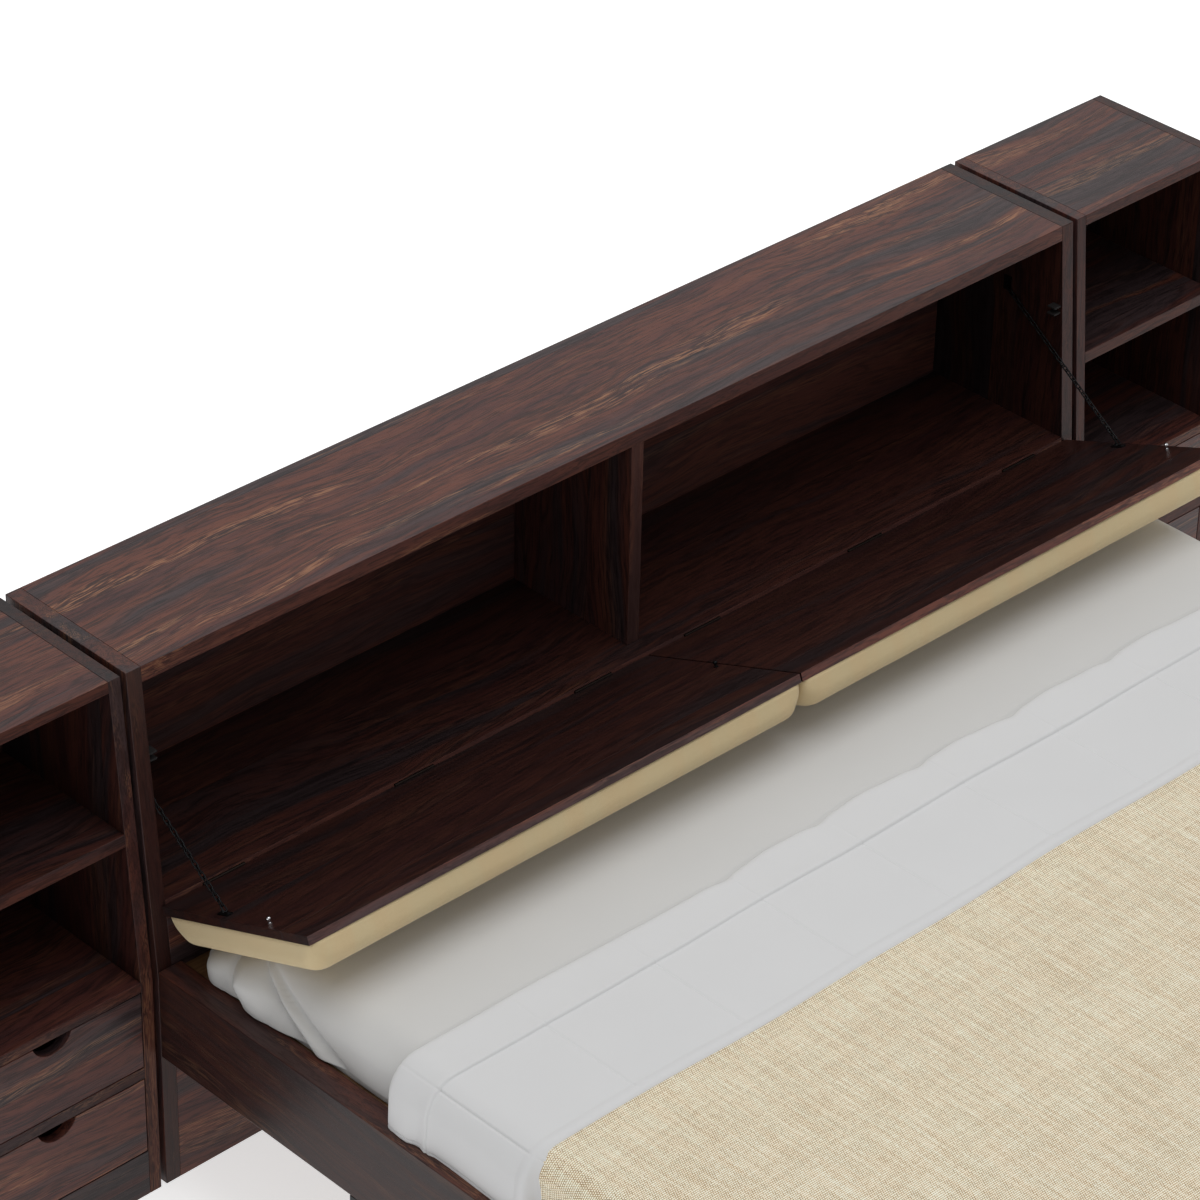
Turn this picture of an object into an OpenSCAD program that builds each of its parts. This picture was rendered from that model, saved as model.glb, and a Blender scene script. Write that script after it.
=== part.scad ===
// Storage bed: a slant-fronted headboard cabinet with two padded drop-down flaps,
// two open nightstands with drawers bolted to its sides, and a low box bed in front.
// x runs across the bed, the foot points to -y, and the floor is z = 0.

/* [Headboard] */
// Width across the two side panels
head_w = 1950; // [1650:10:2050]
// Height of the headboard and the nightstands
head_h = 880; // [860:1:900]
// Depth at the floor
head_d = 314; // [300:1:340]
// Thickness of the side panels
head_side_t = 26; // [22:1:28]
// Thickness of the top board
head_top_t = 25; // [22:1:28]
// Height where the upright front starts to lean back
kink_z = 381; // [375:1:385]
// How far the top's front edge is set back from the foot of the front
top_setback = 44; // [40:1:50]
// Thickness of the back panels
back_t = 14; // [10:1:16]
// Height of the storage floor's upper face
store_floor_z = 499; // [495:1:505]
// Thickness of the storage floor
store_floor_t = 18; // [16:1:20]
// Thickness of the divider between the two compartments
divider_t = 25; // [20:1:28]
// Set back of the divider's front edge
divider_setback = 43; // [43:1:60]
// Thickness of the front boards under the storage
front_t = 18; // [16:1:20]

/* [Flaps] */
// Length of a flap from its hinge line to its front edge
flap_len = 343; // [340:1:354]
// Thickness of a flap's board
flap_t = 14; // [12:1:16]
// Distance of a flap's outer end from the headboard's side
flap_inset = 18; // [14:1:20]
// Gap between the two flaps
flap_gap = 3; // [2:1:6]
// Slope of the open flap above the level
flap_open_deg = 21.5; // [18:0.1:23]
// Width of the lipping along the flap's front edge
lipping_w = 60; // [40:1:80]
// Thickness of the pad on a flap
pad_t = 54; // [44:1:58]
// Height of the hinge line
hinge_z = 492.5; // [490:0.5:493]

/* [Nightstands] */
// Width of a nightstand
stand_w = 362; // [340:1:420]
// Gap between a nightstand and the headboard
stand_gap = 10; // [8:1:14]
// Thickness of a nightstand's side panels
stand_side_t = 21; // [18:1:22]
// Thickness of a nightstand's top
stand_top_t = 18; // [16:1:20]
// Height of the shelf's upper face
shelf_z = 634; // [600:1:660]
// Thickness of the shelf
shelf_t = 20; // [16:1:22]
// Height of the upper face of the board over the drawers
deck_z = 387; // [387:1:392]
// Thickness of the board over the drawers
deck_t = 17; // [15:1:18]
// Height of a drawer's opening
drawer_h = 135; // [125:1:136]
// Thickness of the board between the drawers
middle_t = 20; // [18:1:22]

/* [Bed] */
// Length of the mattress
mattress_len = 1980; // [1880:10:2030]
// Height of the side rails' upper edge
rail_top_z = 390; // [388:1:392]
// Height of a rail, edge to edge
rail_h = 153; // [140:1:160]
// Thickness of the rails
rail_t = 43; // [38:1:45]
// Height of the platform's upper face
platform_z = 382; // [378:1:384]
// Thickness of the platform boards
platform_t = 15; // [12:1:18]
// Distance of the first side legs from the headboard
leg_offset = 412; // [300:1:500]
// Height of the mattress top at its crown
mattress_top_z = 488; // [480:1:490]

/* [Hidden] */
$fn = 48;

wood = "#4a2a22";
amber = "#7a4d26";
linen = "#cdbd97";
cotton = "#dcdcdc";
pad_cloth = "#c3b084";
steel = "#b8b8bc";
black = "#1c1c1e";

// Room for the mattress between the headboard and the foot rail
mattress_gap = 20;
bed_len = mattress_gap + mattress_len + rail_t;
// The headboard's upright front stands at this y, so the whole is centred on y = 0
front_y = (bed_len - head_d) / 2;
head_half = head_w / 2;
head_inner = head_half - head_side_t;
panel_back = head_d - back_t;
lean = top_setback / (head_h - kink_z);
lean_deg = atan(lean);

// The hinge line stands a little proud of the leaning front
flap_play = 0.6;
hinge_y = lean * (hinge_z - kink_z) - flap_play;
flap_out = head_half - flap_inset;
flap_in = flap_gap / 2;

rail_low_z = rail_top_z - rail_h;
rail_in = head_half - rail_t;
cleat_z = platform_z - platform_t;
foot_in_y = -(bed_len - rail_t);

stand_in = head_half + stand_gap;
stand_out = stand_in + stand_w;
bay_in = stand_in + stand_side_t;
bay_out = stand_out - stand_side_t;
upper_drawer_z = deck_z - deck_t - drawer_h;
lower_drawer_z = upper_drawer_z - middle_t - drawer_h;

// ---------- shared shapes ----------

// Set back of the leaning front at height z
function front_at(z) = max(z - kink_z, 0) * lean;

// Children are drawn from the foot of the headboard's front
module from_front() {
    translate([0, front_y, 0]) children();
}

// A board across the bed whose front edge follows the cabinet's front
module fronted_board(x0, x1, z0, z1, back) {
    kink = z0 < kink_z && kink_z < z1 ? [[0, kink_z]] : [];
    outline = concat([[front_at(z0), z0]], kink, [[front_at(z1), z1], [back, z1], [back, z0]]);
    from_front()
        translate([x0, 0, 0])
            rotate([90, 0, 90])
                linear_extrude(x1 - x0) polygon(outline);
}

// A plain board between two corners
module board(low, high) {
    from_front() translate(low) cube(high - low);
}

module both_sides() {
    children();
    mirror([1, 0, 0]) children();
}

// Children are drawn in the open flap's frame: hinge line at 0, the board along -y, inner face up
module on_flap() {
    from_front()
        translate([0, hinge_y, hinge_z])
            rotate([-flap_open_deg, 0, 0]) children();
}

// A cylinder along x
module rod_x(x0, x1, r) {
    translate([x0, 0, 0]) rotate([0, 90, 0]) cylinder(h = x1 - x0, r = r);
}

// ---------- soft forms ----------

// A soft lid covers a plan of half sizes (half[0], half[1]) with round corners of radius rc.
// It bends over an edge of radius re and falls drop below its crown. A cell index of 0 is the
// middle; past core cells it runs out over the edge in edge more cells.
function lid_reach(rc, re, drop) = rc - re + re * PI / 2 + drop - re;

function lid_out(r, rc, re) =
    let(turn = (r - rc + re) / re * 180 / PI)
    turn <= 0 ? r : rc - re + re * (turn < 90 ? sin(turn) : 1);

function lid_fall(r, rc, re) =
    let(over = r - rc + re, turn = over / re * 180 / PI)
    turn <= 0 ? 0 : turn < 90 ? re * (1 - cos(turn)) : re + over - re * PI / 2;

function lid_part(i, core, edge) = max(abs(i) - core, 0) / edge;

function lid_side(i, core, half, rc, out) =
    sign(i) * (min(abs(i), core) / core * (half - rc) + out);

function lid_point(i, j, core, edge, half, rc, re, drop) =
    let(
        u = lid_part(i, core[0], edge),
        v = lid_part(j, core[1], edge),
        q = lid_reach(rc, re, drop) * [u * sqrt(1 - v * v / 2), v * sqrt(1 - u * u / 2)],
        r = norm(q),
        k = r > 0 ? lid_out(r, rc, re) / r : 0
    )
    [
        lid_side(i, core[0], half[0], rc, k * q[0]),
        lid_side(j, core[1], half[1], rc, k * q[1]),
        -lid_fall(r, rc, re)
    ];

// Triangles of a grid with m columns and n rows, facing up, from a first index
function grid_up(m, n, first = 0) = [
    for (i = [0:m - 2], j = [0:n - 2], half = [0, 1])
        let(a = first + i * n + j, b = a + n, c = b + 1, d = a + 1)
        half == 0 ? [a, d, c] : [a, c, b]
];

function grid_down(m, n, first) = [for (f = grid_up(m, n, first)) [f[0], f[2], f[1]]];

// The grid's outline, anticlockwise from above
function grid_rim(m, n) = concat(
    [for (i = [0:m - 2]) i * n],
    [for (j = [0:n - 2]) (m - 1) * n + j],
    [for (i = [0:m - 2]) (m - 1 - i) * n + n - 1],
    [for (j = [0:n - 2]) n - 1 - j]
);

// A cushion: the lid closed by a flat underside
module soft_block(points, m, n, underside) {
    rim = grid_rim(m, n);
    k = len(rim);
    fan = [for (e = [0:k - 1]) [rim[e], rim[(e + 1) % k], m * n]];
    polyhedron(points = concat(points, [underside]), faces = concat(grid_up(m, n), fan));
}

// A cloth: an outer and an inner lid joined along their hems
module soft_shell(outer, inner, m, n) {
    rim = grid_rim(m, n);
    k = len(rim);
    hem = [
        for (e = [0:k - 1], half = [0, 1])
            let(a = rim[e], b = rim[(e + 1) % k])
            half == 0 ? [a, b, b + m * n] : [a, b + m * n, a + m * n]
    ];
    polyhedron(
        points = concat(outer, inner),
        faces = concat(grid_up(m, n), grid_down(m, n, m * n), hem)
    );
}

// ---------- headboard ----------

module head_side(x0) {
    color(wood) fronted_board(x0, x0 + head_side_t, 0, head_h, head_d);
}

module head_side_left() {
    head_side(-head_half);
}

module head_side_right() {
    head_side(head_inner);
}

module head_top() {
    color(wood) fronted_board(-head_inner, head_inner, head_h - head_top_t, head_h, head_d);
}

// The storage floor and the rail under it are cut away round the hinge knuckles
module head_floor() {
    color(wood) difference() {
        fronted_board(-head_inner, head_inner, store_floor_z - store_floor_t, store_floor_z, panel_back);
        hinge_recesses();
    }
}

module head_divider() {
    top = head_h - head_top_t;
    color(wood) board([-divider_t / 2, divider_setback, store_floor_z], [divider_t / 2, panel_back, top]);
}

module head_back() {
    color(wood) board([-head_inner, panel_back, 0], [head_inner, head_d, head_h - head_top_t]);
}

module head_lower_front() {
    color(wood) board([-head_inner, 0, 0], [head_inner, front_t, kink_z]);
}

module hinge_rail() {
    rail_back = 40;
    color(wood) difference() {
        fronted_board(-head_inner, head_inner, kink_z, store_floor_z - store_floor_t, rail_back);
        hinge_recesses();
    }
}

// ---------- flap hinges ----------

knuckle_r = 3;
pin_r = 1.2;
pin_play = 0.05;
knuckle_play = 0.4;
knuckle_len = 15;
knuckle_gap = 0.4;
knuckle_pitch = knuckle_len + knuckle_gap;
hinge_len = 5 * knuckle_len + 4 * knuckle_gap;
leaf_t = 1.2;
fixed_leaf_h = 34;
flap_leaf_h = 13;
// Middles of the three hinges on the right flap
hinge_xs = [for (f = [0.12, 0.5, 0.88]) flap_in + f * (flap_out - flap_in)];

module at_hinges() {
    for (x = hinge_xs) translate([x - hinge_len / 2, 0, 0]) children();
}

// Knuckles first, first + 2 and so on of one hinge
module knuckles(first, r) {
    for (k = [first:2:4]) rod_x(k * knuckle_pitch, k * knuckle_pitch + knuckle_len, r);
}

module knuckle_notches(first) {
    for (k = [first:2:4])
        rod_x(k * knuckle_pitch - knuckle_gap, k * knuckle_pitch + knuckle_len + knuckle_gap,
            knuckle_r + knuckle_play);
}

// Children are drawn in the leaning front's frame at the hinge line
module on_lean() {
    from_front()
        translate([0, hinge_y, hinge_z])
            rotate([-lean_deg, 0, 0]) children();
}

// Shallow recess that takes a fixed leaf, and the round one that clears the knuckles
module hinge_recesses() {
    both_sides()
        on_lean()
            at_hinges() {
                translate([0, 0, -fixed_leaf_h]) cube([hinge_len, flap_play + leaf_t, fixed_leaf_h]);
                rod_x(-knuckle_gap, hinge_len + knuckle_gap, knuckle_r + knuckle_play);
            }
}

module fixed_hinge() {
    difference() {
        union() {
            translate([0, flap_play, -fixed_leaf_h]) cube([hinge_len, leaf_t, fixed_leaf_h]);
            knuckles(0, knuckle_r);
        }
        knuckle_notches(1);
    }
    rod_x(0, hinge_len, pin_r);
}

module hinge_leaves() {
    color(steel) both_sides() on_lean() at_hinges() fixed_hinge();
}

module flap_hinge() {
    difference() {
        union() {
            translate([0, -leaf_t, -flap_leaf_h]) cube([hinge_len, leaf_t, flap_leaf_h]);
            knuckles(1, knuckle_r);
        }
        knuckle_notches(0);
        rod_x(-1, hinge_len + 1, pin_r + pin_play);
    }
}

// ---------- flaps ----------

// The board and its lipping, cut away for the hinges
module flap_board() {
    joint_gap = 0.2;
    color(wood) on_flap() difference() {
        union() {
            translate([flap_in, lipping_w + joint_gap - flap_len, -flap_t])
                cube([flap_out - flap_in, flap_len - lipping_w - joint_gap, flap_t]);
            translate([flap_in, -flap_len, -flap_t])
                cube([flap_out - flap_in, lipping_w, flap_t]);
        }
        at_hinges() {
            translate([0, -leaf_t, -flap_leaf_h]) cube([hinge_len, leaf_t + 1, flap_leaf_h + 1]);
            rod_x(-knuckle_gap, hinge_len + knuckle_gap, knuckle_r + knuckle_play);
        }
    }
}

// Gap between a pad and its board
pad_seat = 0.3;

// The pad swells to its crown and draws in a little along its ends and front
module flap_pad() {
    core = [8, 2];
    edge = 4;
    rear = 8;
    crown = 3;
    draw_in = 3;
    corner_r = 34;
    edge_r = 29;
    half = [(flap_out - flap_in) / 2, (flap_len - rear) / 2];
    columns = 2 * (core[0] + edge) + 1;
    rows = 2 * (core[1] + edge) + 1;
    points = [
        for (i = [-core[0] - edge:core[0] + edge], j = [-core[1] - edge:core[1] + edge])
            let(
                p = lid_point(i, j, core, edge, half, corner_r, edge_r, pad_t - crown),
                a = p[0] / half[0],
                b = p[1] / half[1],
                pull = 1 - draw_in / half[1] * (1 - a * a) * b * b,
                depth = crown * (1 - a * a) * (1 - b * b) - crown + p[2]
            )
            [p[0], p[1] * pull, depth]
    ];
    color(pad_cloth) on_flap()
        translate([(flap_in + flap_out) / 2, -half[1] - rear, -flap_t - pad_seat])
            mirror([0, 0, 1])
                translate([0, 0, pad_t]) soft_block(points, columns, rows, [0, 0, -pad_t]);
}

module flap_hinges() {
    color(steel) on_flap() at_hinges() flap_hinge();
}

// Chain plate and side catch stud on a flap's inner face; the left flap has a stop pin too
chain_x = 942;
plate_t = 1.5;
post_r = 1.6;
stud_r = 3.5;
side_stud = [943, 240, 10];
stop_pin = [12.5, 170, 10];

module flap_fittings(studs) {
    plate = [13, 26];
    color(black) on_flap() {
        translate([chain_x - plate[0] / 2, -chain_low[0] - plate[1] / 2, 0])
            cube([plate[0], plate[1], plate_t]);
        translate([chain_x, -chain_low[0] - eye_half * low_dir[0], 0])
            cylinder(h = chain_low[1] - eye_half * low_dir[1], r = post_r, $fn = 24);
        for (s = studs)
            translate([s[0], -s[1], 0]) cylinder(h = s[2], r = stud_r, $fn = 32);
    }
    color(black) chain_ring(chain_links + 1);
}

// ---------- chains ----------

// The chain runs straight from the side panel's eye to the flap's eye in the plane x = chain_x
chain_high = [145, 730];
// Flap end: distance from the hinge along the flap, and height above its inner face
chain_low = [134, 9];
chain_links = 33;
wire = 1.8;
link_play = 1.1;
link_side_play = 0.4;

// End of the chain in the headboard's frame while the flap is open
chain_end = [
    hinge_y - chain_low[0] * cos(flap_open_deg) + chain_low[1] * sin(flap_open_deg),
    hinge_z + chain_low[0] * sin(flap_open_deg) + chain_low[1] * cos(flap_open_deg)
];
chain_run = chain_end - chain_high;
chain_len = norm(chain_run);
link_pitch = chain_len / (chain_links + 1);
link_in = [link_pitch + link_play, wire + 2 * link_side_play];
chain_slope = atan2(chain_run[1], chain_run[0]);
// Half an eye's length, and the chain's direction in the flap's frame
eye_half = (link_in[0] + wire) / 2;
low_dir = [-cos(chain_slope + flap_open_deg), -sin(chain_slope + flap_open_deg)];

// Outline of an oval link or of its hole, along x
module oval(length, width) {
    straight = length - width;
    square([straight, width], center = true);
    for (e = [-1, 1]) translate([e * straight / 2, 0]) circle(d = width, $fn = 24);
}

module link() {
    translate([0, 0, -wire / 2])
        linear_extrude(wire) difference() {
            oval(link_in[0] + 2 * wire, link_in[1] + 2 * wire);
            oval(link_in[0], link_in[1]);
        }
}

// Link number n of the right chain; links turn a quarter one after the other
module chain_ring(n) {
    at = chain_high + chain_run * n / (chain_links + 1);
    from_front()
        translate([chain_x, at[0], at[1]])
            rotate([chain_slope, 0, 0])
                rotate([0, 0, 90])
                    rotate([n % 2 == 0 ? 0 : 90, 0, 0]) link();
}

module chain() {
    color(black) for (n = [1:chain_links]) chain_ring(n);
}

module chain_anchors() {
    plate = [16, 26];
    post = chain_high - chain_run / chain_len * eye_half;
    color(black) both_sides() {
        from_front() {
            translate([head_inner - plate_t, post[0] - plate[0] / 2, post[1] - plate[1] / 2])
                cube([plate_t, plate[0], plate[1]]);
            translate([0, post[0], post[1]])
                rod_x(chain_x - wire / 2, head_inner - plate_t / 2, post_r);
        }
        chain_ring(0);
    }
}

// Jaws on the side panels that the side studs enter when the flaps close
module catch_keepers() {
    reach = 15;
    jaw_y = [34, 50];
    at_z = hinge_z + side_stud[1] * cos(lean_deg) - side_stud[2] * sin(lean_deg) / 2;
    opening = stud_r + 1;
    jaw_t = 3;
    color(steel) both_sides()
        for (side = [-1, 1])
            board(
                [head_inner - reach, jaw_y[0], at_z + side * (opening + jaw_t / 2) - jaw_t / 2],
                [head_inner, jaw_y[1], at_z + side * (opening + jaw_t / 2) + jaw_t / 2]
            );
}

// ---------- bed ----------

module rail_left() {
    color(wood) board([-head_half, foot_in_y, rail_low_z], [-rail_in, 0, rail_top_z]);
}

module rail_right() {
    color(wood) board([rail_in, foot_in_y, rail_low_z], [head_half, 0, rail_top_z]);
}

module foot_rail() {
    color(wood) board([-head_half, -bed_len, rail_low_z], [head_half, foot_in_y, rail_top_z]);
}

// Two legs under each side rail
leg_size = [43, 60];

module side_legs() {
    color(black) both_sides()
        for (y = [-leg_offset, -bed_len + leg_offset])
            board(
                [head_half - leg_size[0], y - (y > -bed_len / 2 ? leg_size[1] : 0), 0],
                [head_half, y + (y > -bed_len / 2 ? 0 : leg_size[1]), rail_low_z]
            );
}

beam_size = [60, 90];

module centre_beam() {
    low = cleat_z - beam_size[1];
    color(amber) board([-beam_size[0] / 2, foot_in_y, low], [beam_size[0] / 2, 0, cleat_z]);
}

// Round legs with a foot plate under the centre beam
module centre_legs() {
    leg_r = 20;
    foot_r = 30;
    foot_t = 5;
    top = cleat_z - beam_size[1];
    color(black) from_front()
        for (f = [0.2, 0.5, 0.8])
            translate([0, f * foot_in_y, 0]) {
                cylinder(h = top, r = leg_r);
                cylinder(h = foot_t, r = foot_r);
            }
}

// Strips inside the rails that carry the platform
module cleats() {
    strip = [30, 30];
    end_gap = 1;
    low = cleat_z - strip[1];
    color(amber) {
        both_sides()
            board([rail_in - strip[0], foot_in_y + strip[0] + end_gap, low], [rail_in, -end_gap, cleat_z]);
        for (side = [-1, 1])
            board(
                [side > 0 ? beam_size[0] / 2 + end_gap : -rail_in, foot_in_y, low],
                [side > 0 ? rail_in : -beam_size[0] / 2 - end_gap, foot_in_y + strip[0], cleat_z]
            );
    }
}

// The platform is two sheets that meet over the middle of the bed
module platform(y0, y1) {
    play = 1;
    color(amber) board([-rail_in + play, y0 + play, cleat_z], [rail_in - play, y1 - play, platform_z]);
}

module platform_head() {
    platform(foot_in_y / 2, 0);
}

module platform_foot() {
    platform(foot_in_y, foot_in_y / 2);
}

// Angle brackets in the four corners, under the cleats
bracket = [40, 60, 3];
bracket_h = 75;
bracket_low_z = rail_low_z + 15;
bracket_z = [bracket_low_z, bracket_low_z + bracket_h];

module corner_bracket(y, into) {
    board([rail_in - bracket[0], min(y, y + into * bracket[2]), bracket_z[0]],
        [rail_in, max(y, y + into * bracket[2]), bracket_z[1]]);
    board([rail_in - bracket[2], min(y, y + into * bracket[1]), bracket_z[0]],
        [rail_in, max(y, y + into * bracket[1]), bracket_z[1]]);
}

module corner_brackets() {
    color(steel) both_sides() {
        corner_bracket(0, -1);
        corner_bracket(foot_in_y, 1);
    }
}

// A round-headed screw along +z through a bracket whose face is z = 0
module screw() {
    shank_r = 3;
    head_r = 6;
    head_h = 3;
    bite = 14;
    translate([0, 0, -head_h]) cylinder(h = head_h, r = head_r, $fn = 32);
    cylinder(h = bracket[2] + bite, r = shank_r, $fn = 32);
}

module bed_screws() {
    edge = 18;
    across = 28;
    along = 42;
    heights = [bracket_z[0] + edge, bracket_z[1] - edge];
    color(steel) from_front() both_sides()
        for (z = heights) {
            translate([rail_in - across, -bracket[2], z]) rotate([-90, 0, 0]) screw();
            translate([rail_in - across, foot_in_y + bracket[2], z]) rotate([90, 0, 0]) screw();
            for (y = [-along, foot_in_y + along])
                translate([rail_in - bracket[2], y, z]) rotate([0, 90, 0]) screw();
        }
}

// ---------- bedding ----------

// Underside of the open flap's pad, which the head of the mattress stays clear of
pad_room = 6;

function under_pad(y) =
    let(depth = flap_t + pad_t + pad_room)
    hinge_z - depth / cos(flap_open_deg) + (hinge_y - y) * tan(flap_open_deg);

module mattress() {
    core = [6, 10];
    edge = 5;
    low = platform_z + 0.3;
    rail_play = 7;
    foot_play = 4;
    corner_r = 64;
    edge_r = 34;
    half = [rail_in - rail_play, mattress_len / 2];
    mid = foot_in_y + foot_play + half[1];
    crown = 2;
    draw_in = 4;
    columns = 2 * (core[0] + edge) + 1;
    rows = 2 * (core[1] + edge) + 1;
    height = mattress_top_z - low;
    points = [
        for (i = [-core[0] - edge:core[0] + edge], j = [-core[1] - edge:core[1] + edge])
            let(
                p = lid_point(i, j, core, edge, half, corner_r, edge_r, height - crown),
                a = p[0] / half[0],
                b = p[1] / half[1],
                y = mid + p[1],
                free = p[2] - crown + crown * (1 - a * a) * (1 - b * b) + height,
                room = min(1, (under_pad(y) - low) / height),
                pull = 1 - draw_in / half[0] * a * a * (1 - b * b)
            )
            [p[0] * pull, y, low + free * room]
    ];
    color(cotton) from_front() soft_block(points, columns, rows, [0, mid, low]);
}

cloth_t = 3.6;
cloth_low = mattress_top_z + 1.2;
hem_z = rail_top_z + 4;
sheet_y = [-760, -475];
blanket_head_y = -763;

// The turned-down sheet lies across the bed and hangs over both rails in soft folds
module top_sheet() {
    core = [8, 4];
    edge = 8;
    half_x = head_half - 24;
    mid = (sheet_y[0] + sheet_y[1]) / 2;
    half_y = (sheet_y[1] - sheet_y[0]) / 2;
    side_r = 60;
    edge_r = 44;
    fold_h = 3;
    fold_pitch = 95;
    roll_h = 4;
    roll_w = 40;
    function face(i, j, t) =
        let(
            rc = side_r - t,
            re = edge_r - t,
            top = cloth_low + cloth_t - t,
            p = lid_point(i, j, core, edge, [half_x - t, half_y + rc], rc, re, top - hem_z),
            hang = -p[2] / (top - hem_z),
            wave = fold_h * hang * sin(360 * p[1] / fold_pitch),
            roll = roll_h * max(0, 1 - (half_y - p[1]) / roll_w) * (1 - hang)
        )
        [p[0] + sign(i) * (wave - fold_h), mid + p[1], top + p[2] + roll];
    outer = [for (i = [-core[0] - edge:core[0] + edge], j = [-core[1]:core[1]]) face(i, j, 0)];
    inner = [for (i = [-core[0] - edge:core[0] + edge], j = [-core[1]:core[1]]) face(i, j, cloth_t)];
    color(cotton) from_front()
        soft_shell(outer, inner, 2 * (core[0] + edge) + 1, 2 * core[1] + 1);
}

// The blanket covers the rest of the bed and falls over both rails and the foot
module blanket() {
    core = [7, 6];
    edge = 6;
    half_x = head_half - 33;
    foot_y = foot_in_y - 12;
    corner_r = 84;
    edge_r = 40;
    half_y = (blanket_head_y - foot_y + corner_r) / 2;
    fold_h = 3;
    fold_pitch = 260;
    function face(i, j, t) =
        let(
            rc = corner_r - t,
            re = edge_r - t,
            top = cloth_low + cloth_t - t,
            p = lid_point(i, j, core, edge, [half_x - t, half_y - t], rc, re, top - hem_z),
            hang = -p[2] / (top - hem_z),
            wave = fold_h * hang * sin(360 * p[1] / fold_pitch)
        )
        [-p[0] - sign(p[0]) * (wave - fold_h), foot_y + half_y - p[1], top + p[2]];
    outer = [for (i = [-core[0] - edge:core[0] + edge], j = [-core[1]:core[1] + edge]) face(i, j, 0)];
    inner = [for (i = [-core[0] - edge:core[0] + edge], j = [-core[1]:core[1] + edge]) face(i, j, cloth_t)];
    color(linen) from_front()
        soft_shell(outer, inner, 2 * (core[0] + edge) + 1, 2 * core[1] + edge + 1);
}

// ---------- nightstands, drawn on the right ----------

module stand_side(x0) {
    color(wood) fronted_board(x0, x0 + stand_side_t, 0, head_h, head_d);
}

module stand_inner_side() {
    stand_side(stand_in);
}

module stand_outer_side() {
    stand_side(bay_out);
}

module stand_top() {
    color(wood) fronted_board(bay_in, bay_out, head_h - stand_top_t, head_h, head_d);
}

module stand_shelf() {
    color(wood) fronted_board(bay_in, bay_out, shelf_z - shelf_t, shelf_z, panel_back);
}

module stand_deck() {
    color(wood) fronted_board(bay_in, bay_out, deck_z - deck_t, deck_z, panel_back);
}

module stand_middle_board() {
    color(wood) board([bay_in, 0, upper_drawer_z - middle_t], [bay_out, panel_back, upper_drawer_z]);
}

// Front plinth and the board that the lower drawer runs on
module stand_base() {
    color(wood) {
        board([bay_in, 0, 0], [bay_out, front_t, lower_drawer_z]);
        board([bay_in, front_t, lower_drawer_z - front_t], [bay_out, panel_back, lower_drawer_z]);
    }
}

module stand_back() {
    color(wood) board([bay_in, panel_back, 0], [bay_out, head_d, head_h - stand_top_t]);
}

// Bolts with countersunk heads, spacers in the gap and nuts inside the headboard
module stand_bolts() {
    bolt_r = 4;
    head_r = 8;
    spacer_r = 9;
    nut_r = 7.5;
    nut_h = 6;
    tip = 2;
    color(steel) from_front() both_sides()
        for (y = [70, 240], z = [150, 300])
            translate([0, y, z]) {
                rod_x(head_inner - nut_h - tip, bay_in, bolt_r);
                translate([bay_in - bolt_r, 0, 0])
                    rotate([0, 90, 0]) cylinder(h = bolt_r, r1 = bolt_r, r2 = head_r);
                rod_x(head_half, stand_in, spacer_r);
                rod_x(head_inner - nut_h, head_inner, nut_r);
            }
}

// ---------- drawers, drawn on the right ----------

drawer_gap = 1.5;
box_gap = 3;
box_t = 10;
box_bottom_t = 5;
box_lift = 1;
groove_h = 3;
box_h = 100;
box_rear = 284;
cut_r = 36;
cut_rise = 12;

// A front with the rounded finger cut in its upper edge
module drawer_front(z0) {
    top = z0 + drawer_h - drawer_gap;
    color(wood) difference() {
        board([bay_in + drawer_gap, 0, z0 + drawer_gap], [bay_out - drawer_gap, front_t, top]);
        from_front()
            translate([(bay_in + bay_out) / 2, -1, top + cut_rise])
                rotate([-90, 0, 0]) cylinder(h = front_t + 2, r = cut_r, $fn = 64);
    }
}

// Two sides, a back and a bottom
module drawer_box(z0) {
    low = z0 + box_lift;
    bottom = low + groove_h;
    x0 = bay_in + box_gap;
    x1 = bay_out - box_gap;
    color(amber) {
        board([x0, front_t, low], [x0 + box_t, box_rear, low + box_h]);
        board([x1 - box_t, front_t, low], [x1, box_rear, low + box_h]);
        board([x0 + box_t, box_rear - box_t, low], [x1 - box_t, box_rear, low + box_h]);
        board([x0 + box_t, front_t, bottom], [x1 - box_t, box_rear - box_t, bottom + box_bottom_t]);
    }
}

// ---------- the drawing ----------

module left() {
    mirror([1, 0, 0]) children();
}

head_side_left();
head_side_right();
head_top();
head_floor();
head_divider();
head_back();
head_lower_front();
hinge_rail();
rail_left();
rail_right();
foot_rail();
side_legs();
centre_beam();
centre_legs();
cleats();
platform_head();
platform_foot();
corner_brackets();
bed_screws();
mattress();
top_sheet();
blanket();
hinge_leaves();
chain_anchors();
catch_keepers();
stand_bolts();
left() chain();  // chain_left
chain();  // chain_right
left() flap_board();  // flap_left_board
left() flap_pad();  // flap_left_pad
left() flap_hinges();  // flap_left_hinges
left() flap_fittings([side_stud, stop_pin]);  // flap_left_fittings
flap_board();  // flap_right_board
flap_pad();  // flap_right_pad
flap_hinges();  // flap_right_hinges
flap_fittings([side_stud]);  // flap_right_fittings
left() stand_inner_side();  // stand_left_inner_side
left() stand_outer_side();  // stand_left_outer_side
left() stand_top();  // stand_left_top
left() stand_shelf();  // stand_left_shelf
left() stand_deck();  // stand_left_deck
left() stand_middle_board();  // stand_left_middle_board
left() stand_base();  // stand_left_base
left() stand_back();  // stand_left_back
stand_inner_side();  // stand_right_inner_side
stand_outer_side();  // stand_right_outer_side
stand_top();  // stand_right_top
stand_shelf();  // stand_right_shelf
stand_deck();  // stand_right_deck
stand_middle_board();  // stand_right_middle_board
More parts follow.
